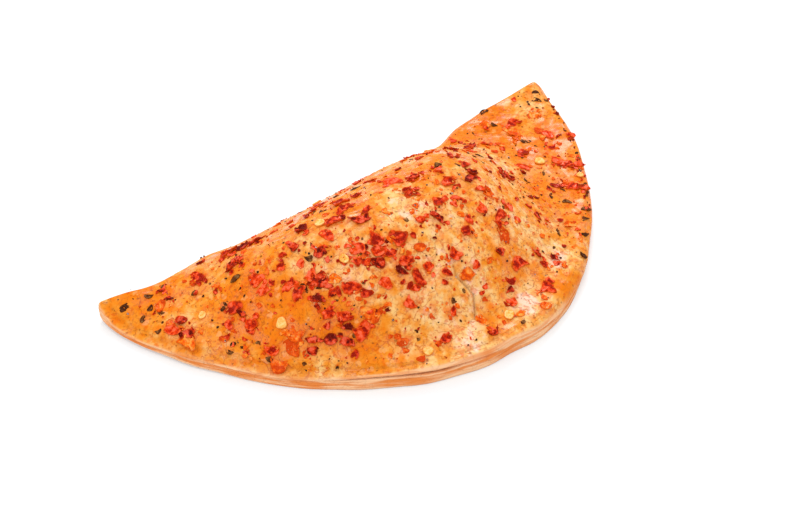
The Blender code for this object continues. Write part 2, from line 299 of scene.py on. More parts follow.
def relief(x, v):
    d = dough
    inward = rise(fromRim(x, v), 0, 6 * mm) * rise(fromFold(x, v), 0, 6 * mm)
    lumps = d["lumpHeight"] * patchy(x, v, d["lumpSize"], 2.2)
    ripple = patchy(x, v, d["rippleSize"], 5.1) + 0.45 * patchy(x, v, d["rippleSize"] / 2.3, 1.1)
    risen = d["blisterHeight"] * blisters(x, v) * (0.35 + 0.65 * inward)
    wrinkled = d["wrinkleHeight"] * wrinkles(x, v)
    return (lumps + risen + wrinkled) * inward + d["rippleHeight"] * ripple * (0.4 + 0.6 * inward)


def crustTop(x, v):
    return crustHeight(x, v) + relief(x, v)


# ---- toppings' places: the listed ones in millimetres, then the small ones by a seeded rule

largeToppings = {  # x, v, length, width, and the turn of the length from x towards v
    "red": (
        (-18, 33, 7, 3.6, 10), (-26, 40, 6.5, 3.4, 30), (-31, 43, 6, 4, 80), (-50, 17, 6, 3.2, 10),
        (-62, 18, 6, 4.6, 30), (-62, 37, 6.5, 5, 40), (-53, 36, 5.5, 4.4, 60), (-48, 46, 6.5, 3.8, 0),
        (-34, 58, 6.2, 4.6, 20), (-25, 63, 5, 3.6, 70), (-20, 53, 6, 4, 60), (-14, 56, 6.4, 5.2, 40),
        (-15, 67, 6.5, 3.4, 100), (-21, 70, 5, 3.4, 90), (-38, 68, 7, 4.6, 10), (-43, 59, 4.8, 3.8, 0),
        (-78, 27, 6, 4.2, 50), (-62, 45, 5.2, 4.2, 20), (-17, 82, 4.6, 3, 20), (23, 83, 5.6, 4.4, 30),
        (19, 74, 8, 4.6, 5), (22, 61, 6, 3.4, 0), (12, 47, 5, 3.6, 10), (-2, 37, 6.2, 4.8, 20),
        (4, 52, 5, 3.6, 40), (75, 23, 7, 3.6, 70), (62, 26, 4.6, 3.2, 30), (70, 40, 4.6, 3.4, 60),
        (64, 50, 5, 3.6, 60), (17, 22, 5, 4, 0), (-1, 67, 4.6, 3.4, 70),
    ),
    "dark": (
        (-20, 45, 8, 3.6, 20), (-36, 45, 5.2, 4, 60), (-40, 52, 8.5, 6.5, 60), (-23, 58, 5.2, 4, 20),
        (-19, 63, 5.4, 2.4, 80), (-54, 25, 5.2, 3.8, 30), (-46, 64, 4.6, 3.8, 40), (20, 48, 7, 2.6, -5),
        (0, 56, 6, 2.2, 70), (41, 43, 5, 2.2, 40), (59, 46, 4.8, 2.8, 60), (39, 60, 4.2, 2.6, 70),
    ),
    "orange": (
        (-33, 66, 6.2, 4.4, 60), (-77, 33, 7, 4.5, 60), (-56, 58, 6, 4.6, 70), (66, 16, 8, 4, 70),
        (19, 66, 6.4, 5, 80), (23, 54, 6.6, 4.2, 30), (-3, 82, 7.2, 4.4, 80),
    ),
    "seed": (
        (-55, 51, 4.8, 3.6, 60), (-30, 37, 4.4, 3.2, 20), (-24, 82, 4.4, 3, 20), (5, 85, 4.6, 3.4, 30),
        (63, 33, 5, 4, 40),
    ),
    "herb": (
        (-56, 30, 5, 2.2, 20), (67, 22, 4.6, 2.4, 50), (-84, 9, 3.4, 2.6, 0), (83, 9, 3.6, 2.4, 30),
    ),
}

scatter = {
    "count": 76,
    # the share of each kind, its length in millimetres and how wide it is for its length
    "kinds": {"red": (0.42, (2.6, 4.2), (0.55, 0.85)), "orange": (0.16, (2.8, 4.4), (0.60, 0.85)),
              "dark": (0.14, (2.6, 4.2), (0.45, 0.75)), "seed": (0.03, (3.4, 4.2), (0.68, 0.82)),
              "herb": (0.25, (2.4, 4.0), (0.35, 0.60))},
    "gap": 1.2 * mm,
    "rimGap": 9.0 * mm,
    "foldGap": 4.5 * mm,
    "seed": 11,
    "crest": 46 * mm,  # where most of the strewn ones lie, and half widths behind and before it
    "crestSpread": (17 * mm, 26 * mm),
}


def roomFor(x, v, length, placed, rimGap, gap):
    if fromRim(x, v) < rimGap or fromFold(x, v) < scatter["foldGap"]:
        return False
    return all(math.hypot(x - other[1], v - other[2]) > (length + other[3]) / 2 + gap for other in placed)


def toppingPlaces():
    placed = []
    for kind, rows in largeToppings.items():
        for x, v, length, width, turn in rows:
            placed.append((kind, x * mm, v * mm, length * mm, width * mm, math.radians(turn)))
    rng = random.Random(scatter["seed"])
    kinds = list(scatter["kinds"])
    shares = [row[0] for row in scatter["kinds"].values()]
    wanted = len(placed) + scatter["count"]
    while len(placed) < wanted:
        x = rng.uniform(-0.5, 0.5) * turnover["length"]
        v = rng.uniform(0.0, 1.0) * turnover["depth"]
        kind = rng.choices(kinds, shares)[0]
        _, lengths, widths = scatter["kinds"][kind]
        length = rng.uniform(*lengths) * mm
        width, turn = rng.uniform(*widths) * length, rng.uniform(0.0, math.pi)
        if roomFor(x, v, length, placed, scatter["rimGap"], scatter["gap"]):
            placed.append((kind, x, v, length, width, turn))
    return placed


def seatHeight(x, v):
    # the crust's height, lower where the rim is rounded off
    out = letOut(x, v)
    near = max(0.0, 1 - fromRim(x / out, v / out) / (rimProfile[0][0] * mm))
    return crustTop(x, v) * (1 - crust["rounding"] * roundedOff(x, v) * near ** 1.5)


def seat(x, v, turn):
    # a frame on the crust: z along its normal and x along the turn
    step = 0.7 * mm
    slopeX = (seatHeight(x + step, v) - seatHeight(x - step, v)) / (2 * step)
    slopeV = (seatHeight(x, v + step) - seatHeight(x, v - step)) / (2 * step)
    normal = Vector((-slopeX, slopeV, 1.0)).normalized()
    along = Vector((math.cos(turn), -math.sin(turn), 0.0))
    along = (along - normal * along.dot(normal)).normalized()
    matrix = Matrix((along, normal.cross(along), normal)).transposed().to_4x4()
    matrix.translation = toWorld(x, v, seatHeight(x, v))
    return matrix


places = toppingPlaces()
print("toppings placed:", len(places))


# ---- where the toppings lie that are too small or too thin for the solid

mediumToppings = {
    "red": (
        (-31, 52, 4, 3.4, 20), (-29, 54.5, 3.5, 2.6, 60), (-26.5, 55.5, 4, 3, 30),
        (-25.5, 51.5, 5, 3.4, 70), (-16.5, 61.5, 6, 3, 10), (-10.5, 66, 4, 3.4, 40),
        (8.5, 82, 3.8, 3, 10), (12.5, 77.5, 4.2, 2.4, 20), (3, 76, 2.4, 2, 0), (1, 77, 2.4, 1.8, 40),
        (6.5, 62.5, 3.6, 3.2, 30), (13, 41, 3.6, 2.8, 0), (-1.5, 46, 5, 2.8, 10), (10.5, 53, 5, 2.2, 10),
        (16.5, 58.5, 4, 3.2, 40), (-5, 54.5, 3.5, 2.5, 30), (2, 59, 3, 2.4, 0), (28, 62, 3, 2.2, 50),
        (57, 21.5, 2.5, 2, 0), (69, 13, 5, 4, 20), (76, 5, 2.4, 2, 0), (55.5, 33.5, 5, 3.6, 30),
        (69, 36.5, 4.4, 3.4, 60), (72.5, 43, 4.5, 3.2, 50), (-46.5, 40, 3.6, 3, 0), (-51, 41, 2.4, 2, 30),
        (-20, 24, 5, 3, 20), (-2, 86.7, 4, 2.4, 0), (81.5, 29.5, 3.4, 2.2, 60), (75.4, 43.6, 2.6, 2, 0),
        (71.9, 43.3, 3, 2.4, 40), (67, 53.5, 4, 3, 30), (-61, 54.4, 4.5, 3.4, 20),
        (-35.9, 68.3, 6.5, 4, 10), (-40.4, 61.9, 4.5, 3.2, 60), (23.2, 81.6, 4.4, 3.4, 20),
        (25.5, 80.5, 3, 2.4, 70), (-61.5, 44.3, 5, 3.6, 40), (-53.6, 40.4, 5, 3.6, 20),
        (-46.4, 49.5, 7, 3.6, 160), (-41.4, 49, 4.6, 4, 60), (-39.9, 62.9, 5, 3.4, 20),
        (-22, 55, 5, 3.4, 30), (-18.5, 57.5, 5.4, 3.4, 40), (-31, 62, 4.4, 3.2, 30),
    ),
    "dark": (
        (-40.6, 65, 4, 2.6, 30), (-43.5, 54, 4.6, 3.6, 20), (-42.5, 67.5, 5, 3.4, 60),
        (14, 70.5, 4.2, 3.2, 40), (28, 72, 4, 1.4, 60), (4.5, 39.5, 4.2, 3, 20), (41, 39, 2.5, 1.8, 0),
        (48, 16, 4, 3, 0), (40, 71, 2, 1.4, 0), (38, 56, 3, 1.4, 40), (46.5, 50.5, 2.5, 1.6, 30),
        (-47, 20, 5, 3, 20), (-43, 22, 5.5, 2.6, 10), (-34.5, 34.5, 4.6, 3.2, 30),
        (-40, 38, 4.5, 3.4, 40), (-66, 22, 2, 1.6, 0), (-72, 12, 3.6, 1.4, 0), (-3, 88, 5.5, 1.8, -10),
        (-72.5, 16.5, 3.4, 2.2, 30), (-62.4, 27.3, 2.6, 1.8, 0), (-74.7, 26.5, 4, 2.6, 30),
        (-76.7, 32.1, 5, 3.2, 50), (-68.6, 41.5, 3, 2.2, 20), (-67.5, 50, 3, 1.6, 40),
        (-50.8, 60.7, 3.6, 2.4, 20), (-45.3, 60.9, 3.3, 2.4, 0), (-52.3, 62.8, 3.8, 3, 20),
    ),
    "orange": (
        (-36.5, 54, 4.5, 3.4, 30), (-10, 61, 4, 3, 20), (-62.5, 59, 5.8, 4, 60),
        (-28.5, 76.5, 4.4, 2.6, 20), (-27.5, 67.6, 3, 2.4, 0), (-27, 83, 3, 2.2, 0),
        (8.5, 86, 3.5, 2.4, 0), (17, 87, 4.5, 3.2, 30), (-0.5, 72, 5, 4, 30), (8.5, 58, 3, 2.4, 0),
        (-61, 26, 3, 2.2, 20), (49, 64, 5, 3.4, 30), (-53.8, 56.3, 6, 4.6, 60), (-33, 67, 5.5, 4.4, 0),
        (61, 8, 4, 2.8, 60),
    ),
    "seed": ((70, 47.2, 3.2, 2.2, 50),),
    "herb": (
        (-9, 76, 2, 2, 0), (7, 89, 2.4, 1.4, 0), (43, 77, 4, 2, 30), (56.5, 54.5, 3.5, 2, 40),
        (55.6, 64.2, 2.8, 1.8, 0), (64, 3, 4, 2, 0), (85, 6, 3, 1.8, 30), (-9, 28, 4, 2.4, 30),
        (-64, 34, 2, 1.6, 0), (-63, 56, 2.5, 2, 20), (-82, 16, 3, 2.4, 0), (58.8, 60.8, 2.8, 1.6, 40),
        (50.2, 70.2, 2.8, 1.6, 20), (-78.7, 15.4, 2.4, 1.8, 0), (-77.3, 18.9, 2.8, 1.6, 60),
        (-81.8, 23.5, 2.6, 1.4, 30), (-66.3, 21.4, 2.4, 1.8, 20), (-71.3, 19.8, 2, 1.6, 0),
        (-62.5, 33.3, 2.2, 1.8, 50), (-68.6, 45, 2.6, 1.6, 10), (-71, 46, 2.4, 1.6, 60),
    ),
}

clusters = {
    "bits": (2, 5),  # broken off round each large flake
    "frontBits": (0, 3),  # on the lower front
    "frontStart": 60 * mm,
    "reach": (0.35, 0.72),  # of the flake's length
    "size": (0.30, 0.62),
    "widths": (0.45, 0.85),
    # for each kind, what its bits are
    "mix": {"red": {"red": 0.65, "orange": 0.30, "dark": 0.05},
            "dark": {"dark": 0.35, "red": 0.55, "herb": 0.10},
            "orange": {"orange": 0.75, "red": 0.25}},
    "seed": 41,
}


rimBits = {
    "count": 62,
    "x": (62 * mm, 89.5 * mm),
    "inset": (1.8 * mm, 4.0 * mm),
    "size": (0.8 * mm, 1.9 * mm),
    "widths": (0.4, 0.8),
    "mix": {"herb": 0.42, "dark": 0.36, "red": 0.12, "orange": 0.10},
    "seed": 51,
}


def rimRows():
    # small bits gathered along the rim towards the right tip
    r = rimBits
    rng = random.Random(r["seed"])
    rows, power = [], turnover["rimPower"]
    for _ in range(r["count"]):
        x = rng.uniform(*r["x"])
        v = turnover["depth"] * (1 - (2 * x / turnover["length"]) ** power) ** (1 / power)
        inside = letOut(x, v) - rng.uniform(*r["inset"]) / math.hypot(x, v)
        size = rng.uniform(*r["size"])
        kind = rng.choices(list(r["mix"]), list(r["mix"].values()))[0]
        width, turn = size * rng.uniform(*r["widths"]), rng.uniform(0, math.pi)
        rows.append((kind, x * inside, v * inside, size, width, turn))
    return rows


def onTop(x, v, rimGap, foldGap):
    out = min(1.0, letOut(x, v))
    return fromRim(x / out, v / out) > rimGap and fromFold(x, v) > foldGap


def clusterRows(parents):
    c = clusters
    rng = random.Random(c["seed"])
    rows = []
    for kind, x, v, length, _, _ in parents:
        if kind not in c["mix"] or length < 3.4 * mm:
            continue
        for _ in range(rng.randint(*c["frontBits" if v > c["frontStart"] else "bits"])):
            angle, away = rng.uniform(0, 2 * math.pi), rng.uniform(*c["reach"]) * length
            bitX, bitV = x + away * math.cos(angle), v + away * math.sin(angle)
            size = rng.uniform(*c["size"]) * length
            bit = rng.choices(list(c["mix"][kind]), list(c["mix"][kind].values()))[0]
            if onTop(bitX, bitV, 2 * mm + size, 2 * mm):
                width, turn = size * rng.uniform(*c["widths"]), rng.uniform(0, math.pi)
                rows.append((bit, bitX, bitV, size, width, turn))
    return rows


def crestWeight(x, v):
    # most lies along the crest, less towards the rim and down the back
    away = v - scatter["crest"]
    return 0.25 + 0.75 * bell(away / scatter["crestSpread"][away > 0])


# where most of the pepper has fallen, in millimetres
pepperPatches = ((-53, 34), (-64, 35), (1, 53), (66, 25), (-48, 21), (-70, 19))


def pepperWeight(x, v):
    return min(1.0, 0.16 + sum(nearby(x, v, *place, 3.5) for place in pepperPatches))


def strewn(look, clear):
    # a seeded strewing, clear of the larger toppings if asked
    rng = random.Random(look["seed"])
    rows, tries = [], 0
    while len(rows) < look["count"] and tries < look["count"] * 80:
        tries += 1
        x = rng.uniform(-0.5, 0.5) * turnover["length"]
        v = rng.uniform(0.0, 1.0) * turnover["depth"]
        length = rng.uniform(0, 1) ** 1.6 * (look["sizes"][1] - look["sizes"][0]) + look["sizes"][0]
        width, turn = length * rng.uniform(*look["widths"]), rng.uniform(0.0, math.pi)
        keep = rng.random() < look.get("weight", crestWeight)(x, v)
        if not keep or not onTop(x, v, look["rimGap"] * mm, 1.2 * mm):
            continue
        if clear and not roomFor(x, v, length * 0.5 * mm, places, 0.0, 0.2 * mm):
            continue
        rows.append((x, v, length * mm, width * mm, turn))
    return rows


def keptIn(x, v, width):
    # near the rim a topping follows where the rim is let out or drawn in, and none hangs over
    out = 1 + (letOut(x, v) - 1) * (1 - rise(fromRim(x, v), 0, 14 * mm))
    while fromRim(x * out, v * out) < width / 2 + (1 - letOut(x, v)) * math.hypot(x, v):
        out -= 0.004
    return x * out, v * out


def allRows():
    medium = []
    for kind, rows in mediumToppings.items():
        for x, v, length, width, turn in rows:
            inX, inV = keptIn(x * mm, v * mm, width * mm)
            medium.append((kind, inX, inV, length * mm, width * mm, math.radians(turn)))
    listed = places + medium
    byKind = {kind: [] for kind in largeToppings}
    for kind, *row in listed + clusterRows(listed) + rimRows():
        byKind[kind].append(tuple(row))
    return byKind


rowsByKind = allRows()


# ---- meshes from lists

def newPiece(name, points, faces, values=None):
    mesh = bpy.data.meshes.new(name)
    mesh.from_pydata(points, [], faces)
    for label, numbers in (values or {}).items():
        layer = mesh.attributes.new(label, "FLOAT", "POINT")
        layer.data.foreach_set("value", np.asarray(numbers, np.float32))
    mesh.polygons.foreach_set("use_smooth", [True] * len(mesh.polygons))
    mesh.update()
    piece = bpy.data.objects.new(name, mesh)
    bpy.context.scene.collection.objects.link(piece)
    return piece


def ride(piece, material):
    piece.data.materials.append(material)
    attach(piece, "root")
    return piece


# ---- the crust

crust = {
    "segments": 600,
    "topRings": 118,
    "hubShare": 0.42,  # of the depth, where the rings have their centre
    "baseShares": (0.985, 0.96, 0.90, 0.75, 0.50, 0.25),
    "seamHeight": 0.76,  # share of the rim's height
    "seamDepth": (0.15 * mm, 2.0 * mm),
    "seamGap": 0.030,
    "seamWaver": 0.035,
    "openSeamX": (-30 * mm, 22 * mm),  # where the sheets part: middle and half width
    "seamDrop": (0.22, -50 * mm, 45 * mm),  # how far the seam falls, from which x and over what length
    "layerSize": 12 * mm,
    "layerHeight": 0.30 * mm,
    "lipBack": 0.35 * mm,
    "rounding": 0.42,  # how much of its height the rim loses to its round edge
    "footWaver": 0.5 * mm,
    "glazeOver": 0.75,  # how much of the rim's side the glaze covers at the right
    "seamClosed": (-10 * mm, 14 * mm),  # from which x and over what length the seam closes
    "roundedRight": (-4 * mm, 30 * mm),
    "roundedLeft": (0.65, -40 * mm, -20 * mm),  # how much, from which x and over what length
    # the side's tone, each with where it starts, over what length and how much
    "sideBase": 0.14,
    "sideAlong": ((-25 * mm, -45 * mm, 0.06), (10 * mm, 20 * mm, 0.30), (40 * mm, 20 * mm, 0.70)),
    "sideUp": ((0.56, 0.16, -0.22), (0.22, -0.15, -0.12)),
    "sideLayer": (0.40, 0.13, 0.34),  # middle, half width and how much
    "sidePatches": (8 * mm, 0.50),
    # the top's tone
    "bakeBase": 0.50,
    "paleLip": (0.8 * mm, 1.4 * mm, 0.26),  # how far in, half width and how much
    "bakePatches": ((16 * mm, 8.8, 0.28), (5 * mm, 6.1, 0.16)),  # size, seed and how much
    "bakeLimits": (-0.6, 1.0),
    # painted shade along the pleat's crease: how dark and half width
    "pleatCreaseShade": (0.75, 0.45 * mm),  # how dark and half width
    # the halo round the flakes of each kind, oil stain and painted shade, and how strong it is
    "oilStainsAndShade": {"red": 1.0, "dark": 0.9, "orange": 0.6},
    "stainAndShadeReach": 0.70,  # of the flake's length
}

# from the top's edge down to the base: inset in millimetres and share of the edge's height
rimProfile = (
    (2.6, 1), (1.8, 1), (1.2, 0.996), (0.75, 0.985), (0.42, 0.965), (0.2, 0.94), (0.06, 0.905), (0, 0.87),
    (0.02, 0.835), (0.1, 0.808), (0.3, 0.79), (0.8, 0.78), (1.2, 0.77), (1.2, 0.75), (0.8, 0.738),
    (0.3, 0.725), (0.1, 0.705), (0.02, 0.67), (0, 0.62), (0.06, 0.585), (0.3, 0.565), (0.06, 0.545),
    (0, 0.49), (0, 0.43), (0.05, 0.385), (0.24, 0.365), (0.05, 0.345), (0, 0.29), (0.03, 0.22),
    (0.1, 0.155), (0.18, 0.1), (0.3, 0.055), (0.46, 0.02), (0.7, 0),
)
crustRows = {  # which rows of the rim's profile do what
    "edge": 8,  # rows before this one are the rounded upper edge
    "seam": range(10, 16),
    "seamMiddle": range(11, 14),
    "seamInset": 1.2 * mm,
    "grooves": (20, 25),
    "lower": 13,  # the lower sheet starts here
}
foldProfile = ((0.0, 2.0, 1.0), (0.22, 0.8, 0.86), (0.40, 0.2, 0.70), (0.52, 0.0, 0.55), (0.62, 0.1, 0.44),
               (0.74, 0.3, 0.33), (0.88, 0.9, 0.15), (1.0, 2.2, 0.0))  # way down, inset, share


def foldRow(way):
    ways, insets, shares = zip(*foldProfile)
    return float(np.interp(way, ways, insets)), float(np.interp(way, ways, shares))


def seamOpened(x, v):
    middle, halfWidth = crust["openSeamX"]
    return smooth(1.6 - 1.6 * abs(x - middle) / halfWidth) * rise(v, 0, 40 * mm)


def roundedOff(x, v):
    # 1 where the rim's upper edge is well rounded: to the right, and less at the left
    amount, start, length = crust["roundedLeft"]
    return max(rise(x, *crust["roundedRight"]), amount * rise(x, start, length)) * rise(v, 0, 12 * mm)


# painted shade in the seam where the two sheets part
def seamShade(x, v):
    parted = smooth(-0.10 + 0.9 * patchy(x, v, 8 * mm, 6.6) + 1.2 * seamOpened(x, v))
    return parted * (1 - 0.7 * rise(x, *crust["seamClosed"]))


def sideShare(x, v, share):
    # 0 on the top, 1 on the side
    rounded = roundedOff(x, v)
    glazed = crust["glazeOver"] * rise(x, 12 * mm, 30 * mm) * rise(share, 0.20, 0.30)
    return smooth((0.985 - 0.20 * rounded - share) / (0.08 + 0.22 * rounded)) * (1 - glazed)


def sideTone(x, v, share):
    # the rim's side is baked deeper to the right and below the seam
    c = crust
    tone = c["sideBase"] + sum(amount * rise(x, start, length) for start, length, amount in c["sideAlong"])
    tone += sum(amount * rise(share, start, length) for start, length, amount in c["sideUp"])
    middle, halfWidth, amount = c["sideLayer"]
    tone += amount * bell((share - middle) / halfWidth)
    size, amount = c["sidePatches"]
    return max(0.0, tone + amount * patchy(x, v, size, 1.9 + share * 1.5))


def seamShift(x, v, share, ragged, opened):
    # the sheets part at the seam, which wavers along the rim and falls to the right
    c = crust
    nearSeam = bell((share - c["seamHeight"]) / 0.05)
    gap = c["seamGap"] * (0.4 * ragged + 1.2 * opened)
    share += math.copysign(gap, share - c["seamHeight"]) * nearSeam
    waver = patchy(x, v, 20 * mm, 5.5) + 0.5 * patchy(x, v, 7 * mm, 2.5)
    drop, dropStart, dropLength = c["seamDrop"]
    moved = c["seamWaver"] * waver - drop * rise(x, dropStart, dropLength)
    return min(1.0, share + moved * math.sin(math.pi * min(1.0, share)))


def edgePoint(row, x, v, rimness):
    # how far in the rim's or the fold's edge lies at that row, and at what share of its height
    c = crust
    way = row / (len(rimProfile) - 1)
    inset, share = rimProfile[row]
    lip = rimProfile[0][0]
    fallen = (1 - inset / lip) ** 1.5 if row < crustRows["edge"] else 1.0
    opened = seamOpened(x, v)
    ragged = patchy(x, v, 11 * mm, 3.3)
    if row in crustRows["seam"]:
        depthLow, depthHigh = c["seamDepth"]
        parted = smooth(0.10 + 0.6 * ragged + 0.9 * opened) * (1 - 0.8 * rise(x, *c["seamClosed"]))
        inset *= (depthLow + (depthHigh - depthLow) * parted) / crustRows["seamInset"]
    elif row in crustRows["grooves"]:
        inset *= smooth(0.5 + 1.3 * patchy(x, v, 15 * mm, row * 1.7)) * rise(x, 20 * mm, -10 * mm)
    share = seamShift(x, v, share, ragged, opened)
    share *= 1 - c["rounding"] * roundedOff(x, v) * fallen
    upper = row < crustRows["lower"]
    layer = patchy(x, v, c["layerSize"], 9.1 if upper else 11.7)
    fine = patchy(x, v, 3 * mm, share * 7)
    bulk = math.sin(math.pi * way)
    inset += c["layerHeight"] / mm * (0.9 + layer) * bulk + 0.16 * fine * bulk
    if upper:
        inset += c["lipBack"] / mm * (0.5 + layer) * rise(share, 0.80, 0.10)
    inset += undercut(x, v, share) / mm
    inset += c["footWaver"] / mm * (1 - share) * patchy(x, v, 13 * mm, 4.4)
    foldInset, foldShare = foldRow(way)
    return (rimness * inset + (1 - rimness) * foldInset) * mm, rimness * share + (1 - rimness) * foldShare


def bakeAndPaintedLightTone(x, v):
    # 0 where the crust stays pale, 1 where the glaze has baked deep orange, and below 0 where it is
    # palest. The listed spots also paint sheen as a paler tone and shade in hollows as a deeper tone
    middle, halfWidth, amount = crust["paleLip"]
    lip = bell((fromRim(x, v) - middle) / halfWidth) * rise(v, 12 * mm, 24 * mm)
    tone = crust["bakeBase"] - amount * lip * rise(x, 20 * mm, -20 * mm)
    placeX, placeV = x / mm, v / mm
    for middleX, middleV, radius, amount in crustTones:
        tone += amount * bell(math.hypot(placeX - middleX, placeV - middleV) / radius)
    for size, seed, amount in crust["bakePatches"]:
        tone += amount * patchy(x, v, size, seed)
    low, high = crust["bakeLimits"]
    return min(high, max(low, tone))


# paler spots such as (-10, 86), (14, 83), (37, 73), (47, 64), (46, 33) and (41, 46) are painted sheen, and
# deeper spots are partly painted shade in hollows
crustTones = (  # x, v and radius in millimetres, and how much deeper or paler
    (-55, 46, 13, 0.45), (-63, 43, 8, 0.25), (-44, 58, 9, 0.35), (-45, 63, 7, 0.2), (-69, 4, 12, 0.35),
    (-84, 7, 9, 0.2), (65, 2, 11, 0.4), (53, 4, 9, 0.45), (69, 30, 9, 0.35), (50, 46, 8, 0.4),
    (62, 45, 8, 0.25), (33, 84, 5, 0.35), (-6, 91, 5, 0.3), (-38, 70, 9, 0.4), (3, 82, 5, 0.2),
    (58, 7, 8, 0.35), (65, 12, 8, 0.2), (79, 23, 8, 0.4), (63, 26, 8, 0.25), (67, 49, 7, 0.3),
    (0, 36, 7, 0.35), (7, 43, 5, 0.25), (-14, 41, 6, 0.25), (24, 33, 8, 0.15), (50, 68, 5, 0.4),
    (59, 58, 6, 0.35), (41, 65, 5, 0.2), (-21, 77, 5, 0.2), (-60, 37, 8, 0.25), (-44, 55, 6, 0.15),
    (-55, 31, 7, 0.15), (-10, 86, 6, -0.75), (14, 83, 6, -0.8), (37, 73, 5, -0.7), (47, 64, 4, -0.45),
    (-18, 75, 10, -0.45), (-7, 46, 8, -0.45), (-1, 52, 7, -0.4), (-26, 44, 6, -0.35), (46, 33, 7, -0.6),
    (41, 46, 6, -0.45), (48, 20, 6, -0.35), (-73, 29, 6, -0.25), (-32, 62, 7, -0.25), (-29, 49, 8, -0.2),
    (-40, 41, 6, -0.25), (7, 55, 6, -0.35), (25, 58, 6, -0.35), (10, 64, 7, -0.3), (-4, 67, 6, -0.45),
    (5, 70, 6, -0.35), (1, 75, 5, -0.4), (-3, 79, 4, -0.3), (-46, 45, 7, -0.35), (-40, 51, 6, -0.25),
    (-34, 56, 6, -0.4), (-28, 60, 6, -0.3), (-11, 63, 6, -0.35), (-50, 64, 4, -0.25), (24, 72, 6, -0.4),
    (30, 65, 6, -0.25), (22, 48, 6, -0.2), (-48, 69, 5, -0.5), (-82, 26, 5, -0.1), (-80, 14, 8, 0.25),
    (-74, 25, 6, -0.2), (-68, 42, 6, -0.2), (32, 77, 4, -0.65), (33, 82, 3, 0.35), (28, 85, 3, 0.35),
    (13, 86, 5, -0.3), (60, 64, 4, 0.15), (78, 10, 6, -0.3), (48, 38, 5, -0.25), (86, 3, 4, -0.15),
    (10, 47, 4, -0.3), (80, 12, 5, -0.2), (-1, 48, 5, 0.25), (49, 67, 5, 0.2), (-17, 88, 4, 0.15),
    (11, 74, 5, 0.25), (-27, 22, 9, 0.1),
)


def buildCrust():
    c = crust
    segments, hubV = c["segments"], c["hubShare"] * turnover["depth"]
    edge = outline(segments)
    pleatShade, pleatHalf = c["pleatCreaseShade"]
    points, bakeAndPaintedLight, side, under, crease = [], [], [], [], []

    def add(x, v, z, isSide, isUnder, dark=0.0, share=1.0):
        points.append(toWorld(x, v, z))
        bakeAndPaintedLight.append(bakeAndPaintedLightTone(x, v) * (1 - isSide) + sideTone(x, v, share) * isSide)
        side.append(isSide)
        under.append(isUnder)
        # the crease value paints shade in the pleat's crease and in the parted seam
        pleatShadeHere = pleatStrength(v) * pleatShade * bell(pleatRight(x, v) / pleatHalf)
        crease.append(max(dark, pleatShadeHere * (1 - isSide) * (1 - isUnder)))

    lip = rimProfile[0][0] * mm
    add(0.0, hubV, crustTop(0.0, hubV), 0.0, 0.0)
    for ring in range(1, c["topRings"] + 1):
        share = ring / (c["topRings"] + 1)
        for x, v, _, inwardX, inwardV in edge:
            ringX = share * (x + lip * inwardX)
            ringV = hubV + share * (v + lip * inwardV - hubV)
            add(ringX, ringV, crustTop(ringX, ringV), 0.0, 0.0)
    for row in range(len(rimProfile)):
        for x, v, rimness, inwardX, inwardV in edge:
            inset, share = edgePoint(row, x, v, rimness)
            base = tipLift(x)
            height = crustHeight(x, v) + 0.4 * relief(x, v) * (share > 0.9)
            add(x + inset * inwardX, v + inset * inwardV, max(0.0, base + (height - base) * share),
                rimness * sideShare(x, v, share), rise(share, 0.10, -0.10),
                rimness * (row in crustRows["seamMiddle"]) * seamShade(x, v), share)
    lastInsets = [edgePoint(len(rimProfile) - 1, x, v, rimness)[0] for x, v, rimness, _, _ in edge]
    for share in c["baseShares"]:
        for (x, v, _, inwardX, inwardV), inset in zip(edge, lastInsets):
            ringX = share * (x + inset * inwardX)
            ringV = hubV + share * (v + inset * inwardV - hubV)
            add(ringX, ringV, tipLift(x) * max(0.0, (share - 0.9) / 0.1), 0.0, 1.0)
    add(0.0, hubV, 0.0, 0.0, 1.0)

    rings = (len(points) - 2) // segments
    faces = []
    for i in range(segments):
        j = (i + 1) % segments
        faces.append((0, 1 + j, 1 + i))
        for ring in range(rings - 1):
            a = 1 + ring * segments
            faces.append((a + i, a + j, a + segments + j, a + segments + i))
        last = 1 + (rings - 1) * segments
        faces.append((last + i, last + j, len(points) - 1))
    values = {"bakeAndPaintedLight": bakeAndPaintedLight, "side": side, "under": under, "crease": crease, "stainAndShade": oilStainAndShade(points)}
    return newPiece("crust", points, faces, values)


def oilStainAndShade(points):
    # red oil has bled into the crust round each chilli flake, and the same halo paints shade round it
    here = np.array([(p.x, turnover["depth"] / 2 - p.y) for p in points])
    stainAndShade = np.zeros(len(here))
    for kind, strength in crust["oilStainsAndShade"].items():
        for x, v, length, _, _ in rowsByKind[kind]:
            if length > 3 * mm:
                away = np.hypot(here[:, 0] - x, here[:, 1] - v) / (length * crust["stainAndShadeReach"])
                stainAndShade = np.maximum(stainAndShade, np.exp(-away ** 2) * strength)
    return stainAndShade


# ---- shared shader groups

def nodeGroup(name, inputs, outputs):
    group = bpy.data.node_groups.new(name, "ShaderNodeTree")
    for label, kind, value in inputs:
        socket = group.interface.new_socket(label, in_out="INPUT", socket_type=kind)
        socket.default_value = value
    for label, kind in outputs:
        group.interface.new_socket(label, in_out="OUTPUT", socket_type=kind)
    return group, group.nodes.new("NodeGroupInput"), group.nodes.new("NodeGroupOutput")


def noiseNode(tree, size, detail, vector):
    node = tree.nodes.new("ShaderNodeTexNoise")
    node.inputs["Scale"].default_value = 1 / size
    node.inputs["Detail"].default_value = detail
    tree.links.new(vector, node.inputs["Vector"])
    return node


def mathNode(tree, operation, first, second, clamp=False):
    node = tree.nodes.new("ShaderNodeMath")
    node.operation = operation
    node.use_clamp = clamp
    for socket, value in zip(node.inputs, (first, second)):
        if isinstance(value, (int, float)):
            socket.default_value = value
        else:
            tree.links.new(value, socket)
    return node.outputs[0]


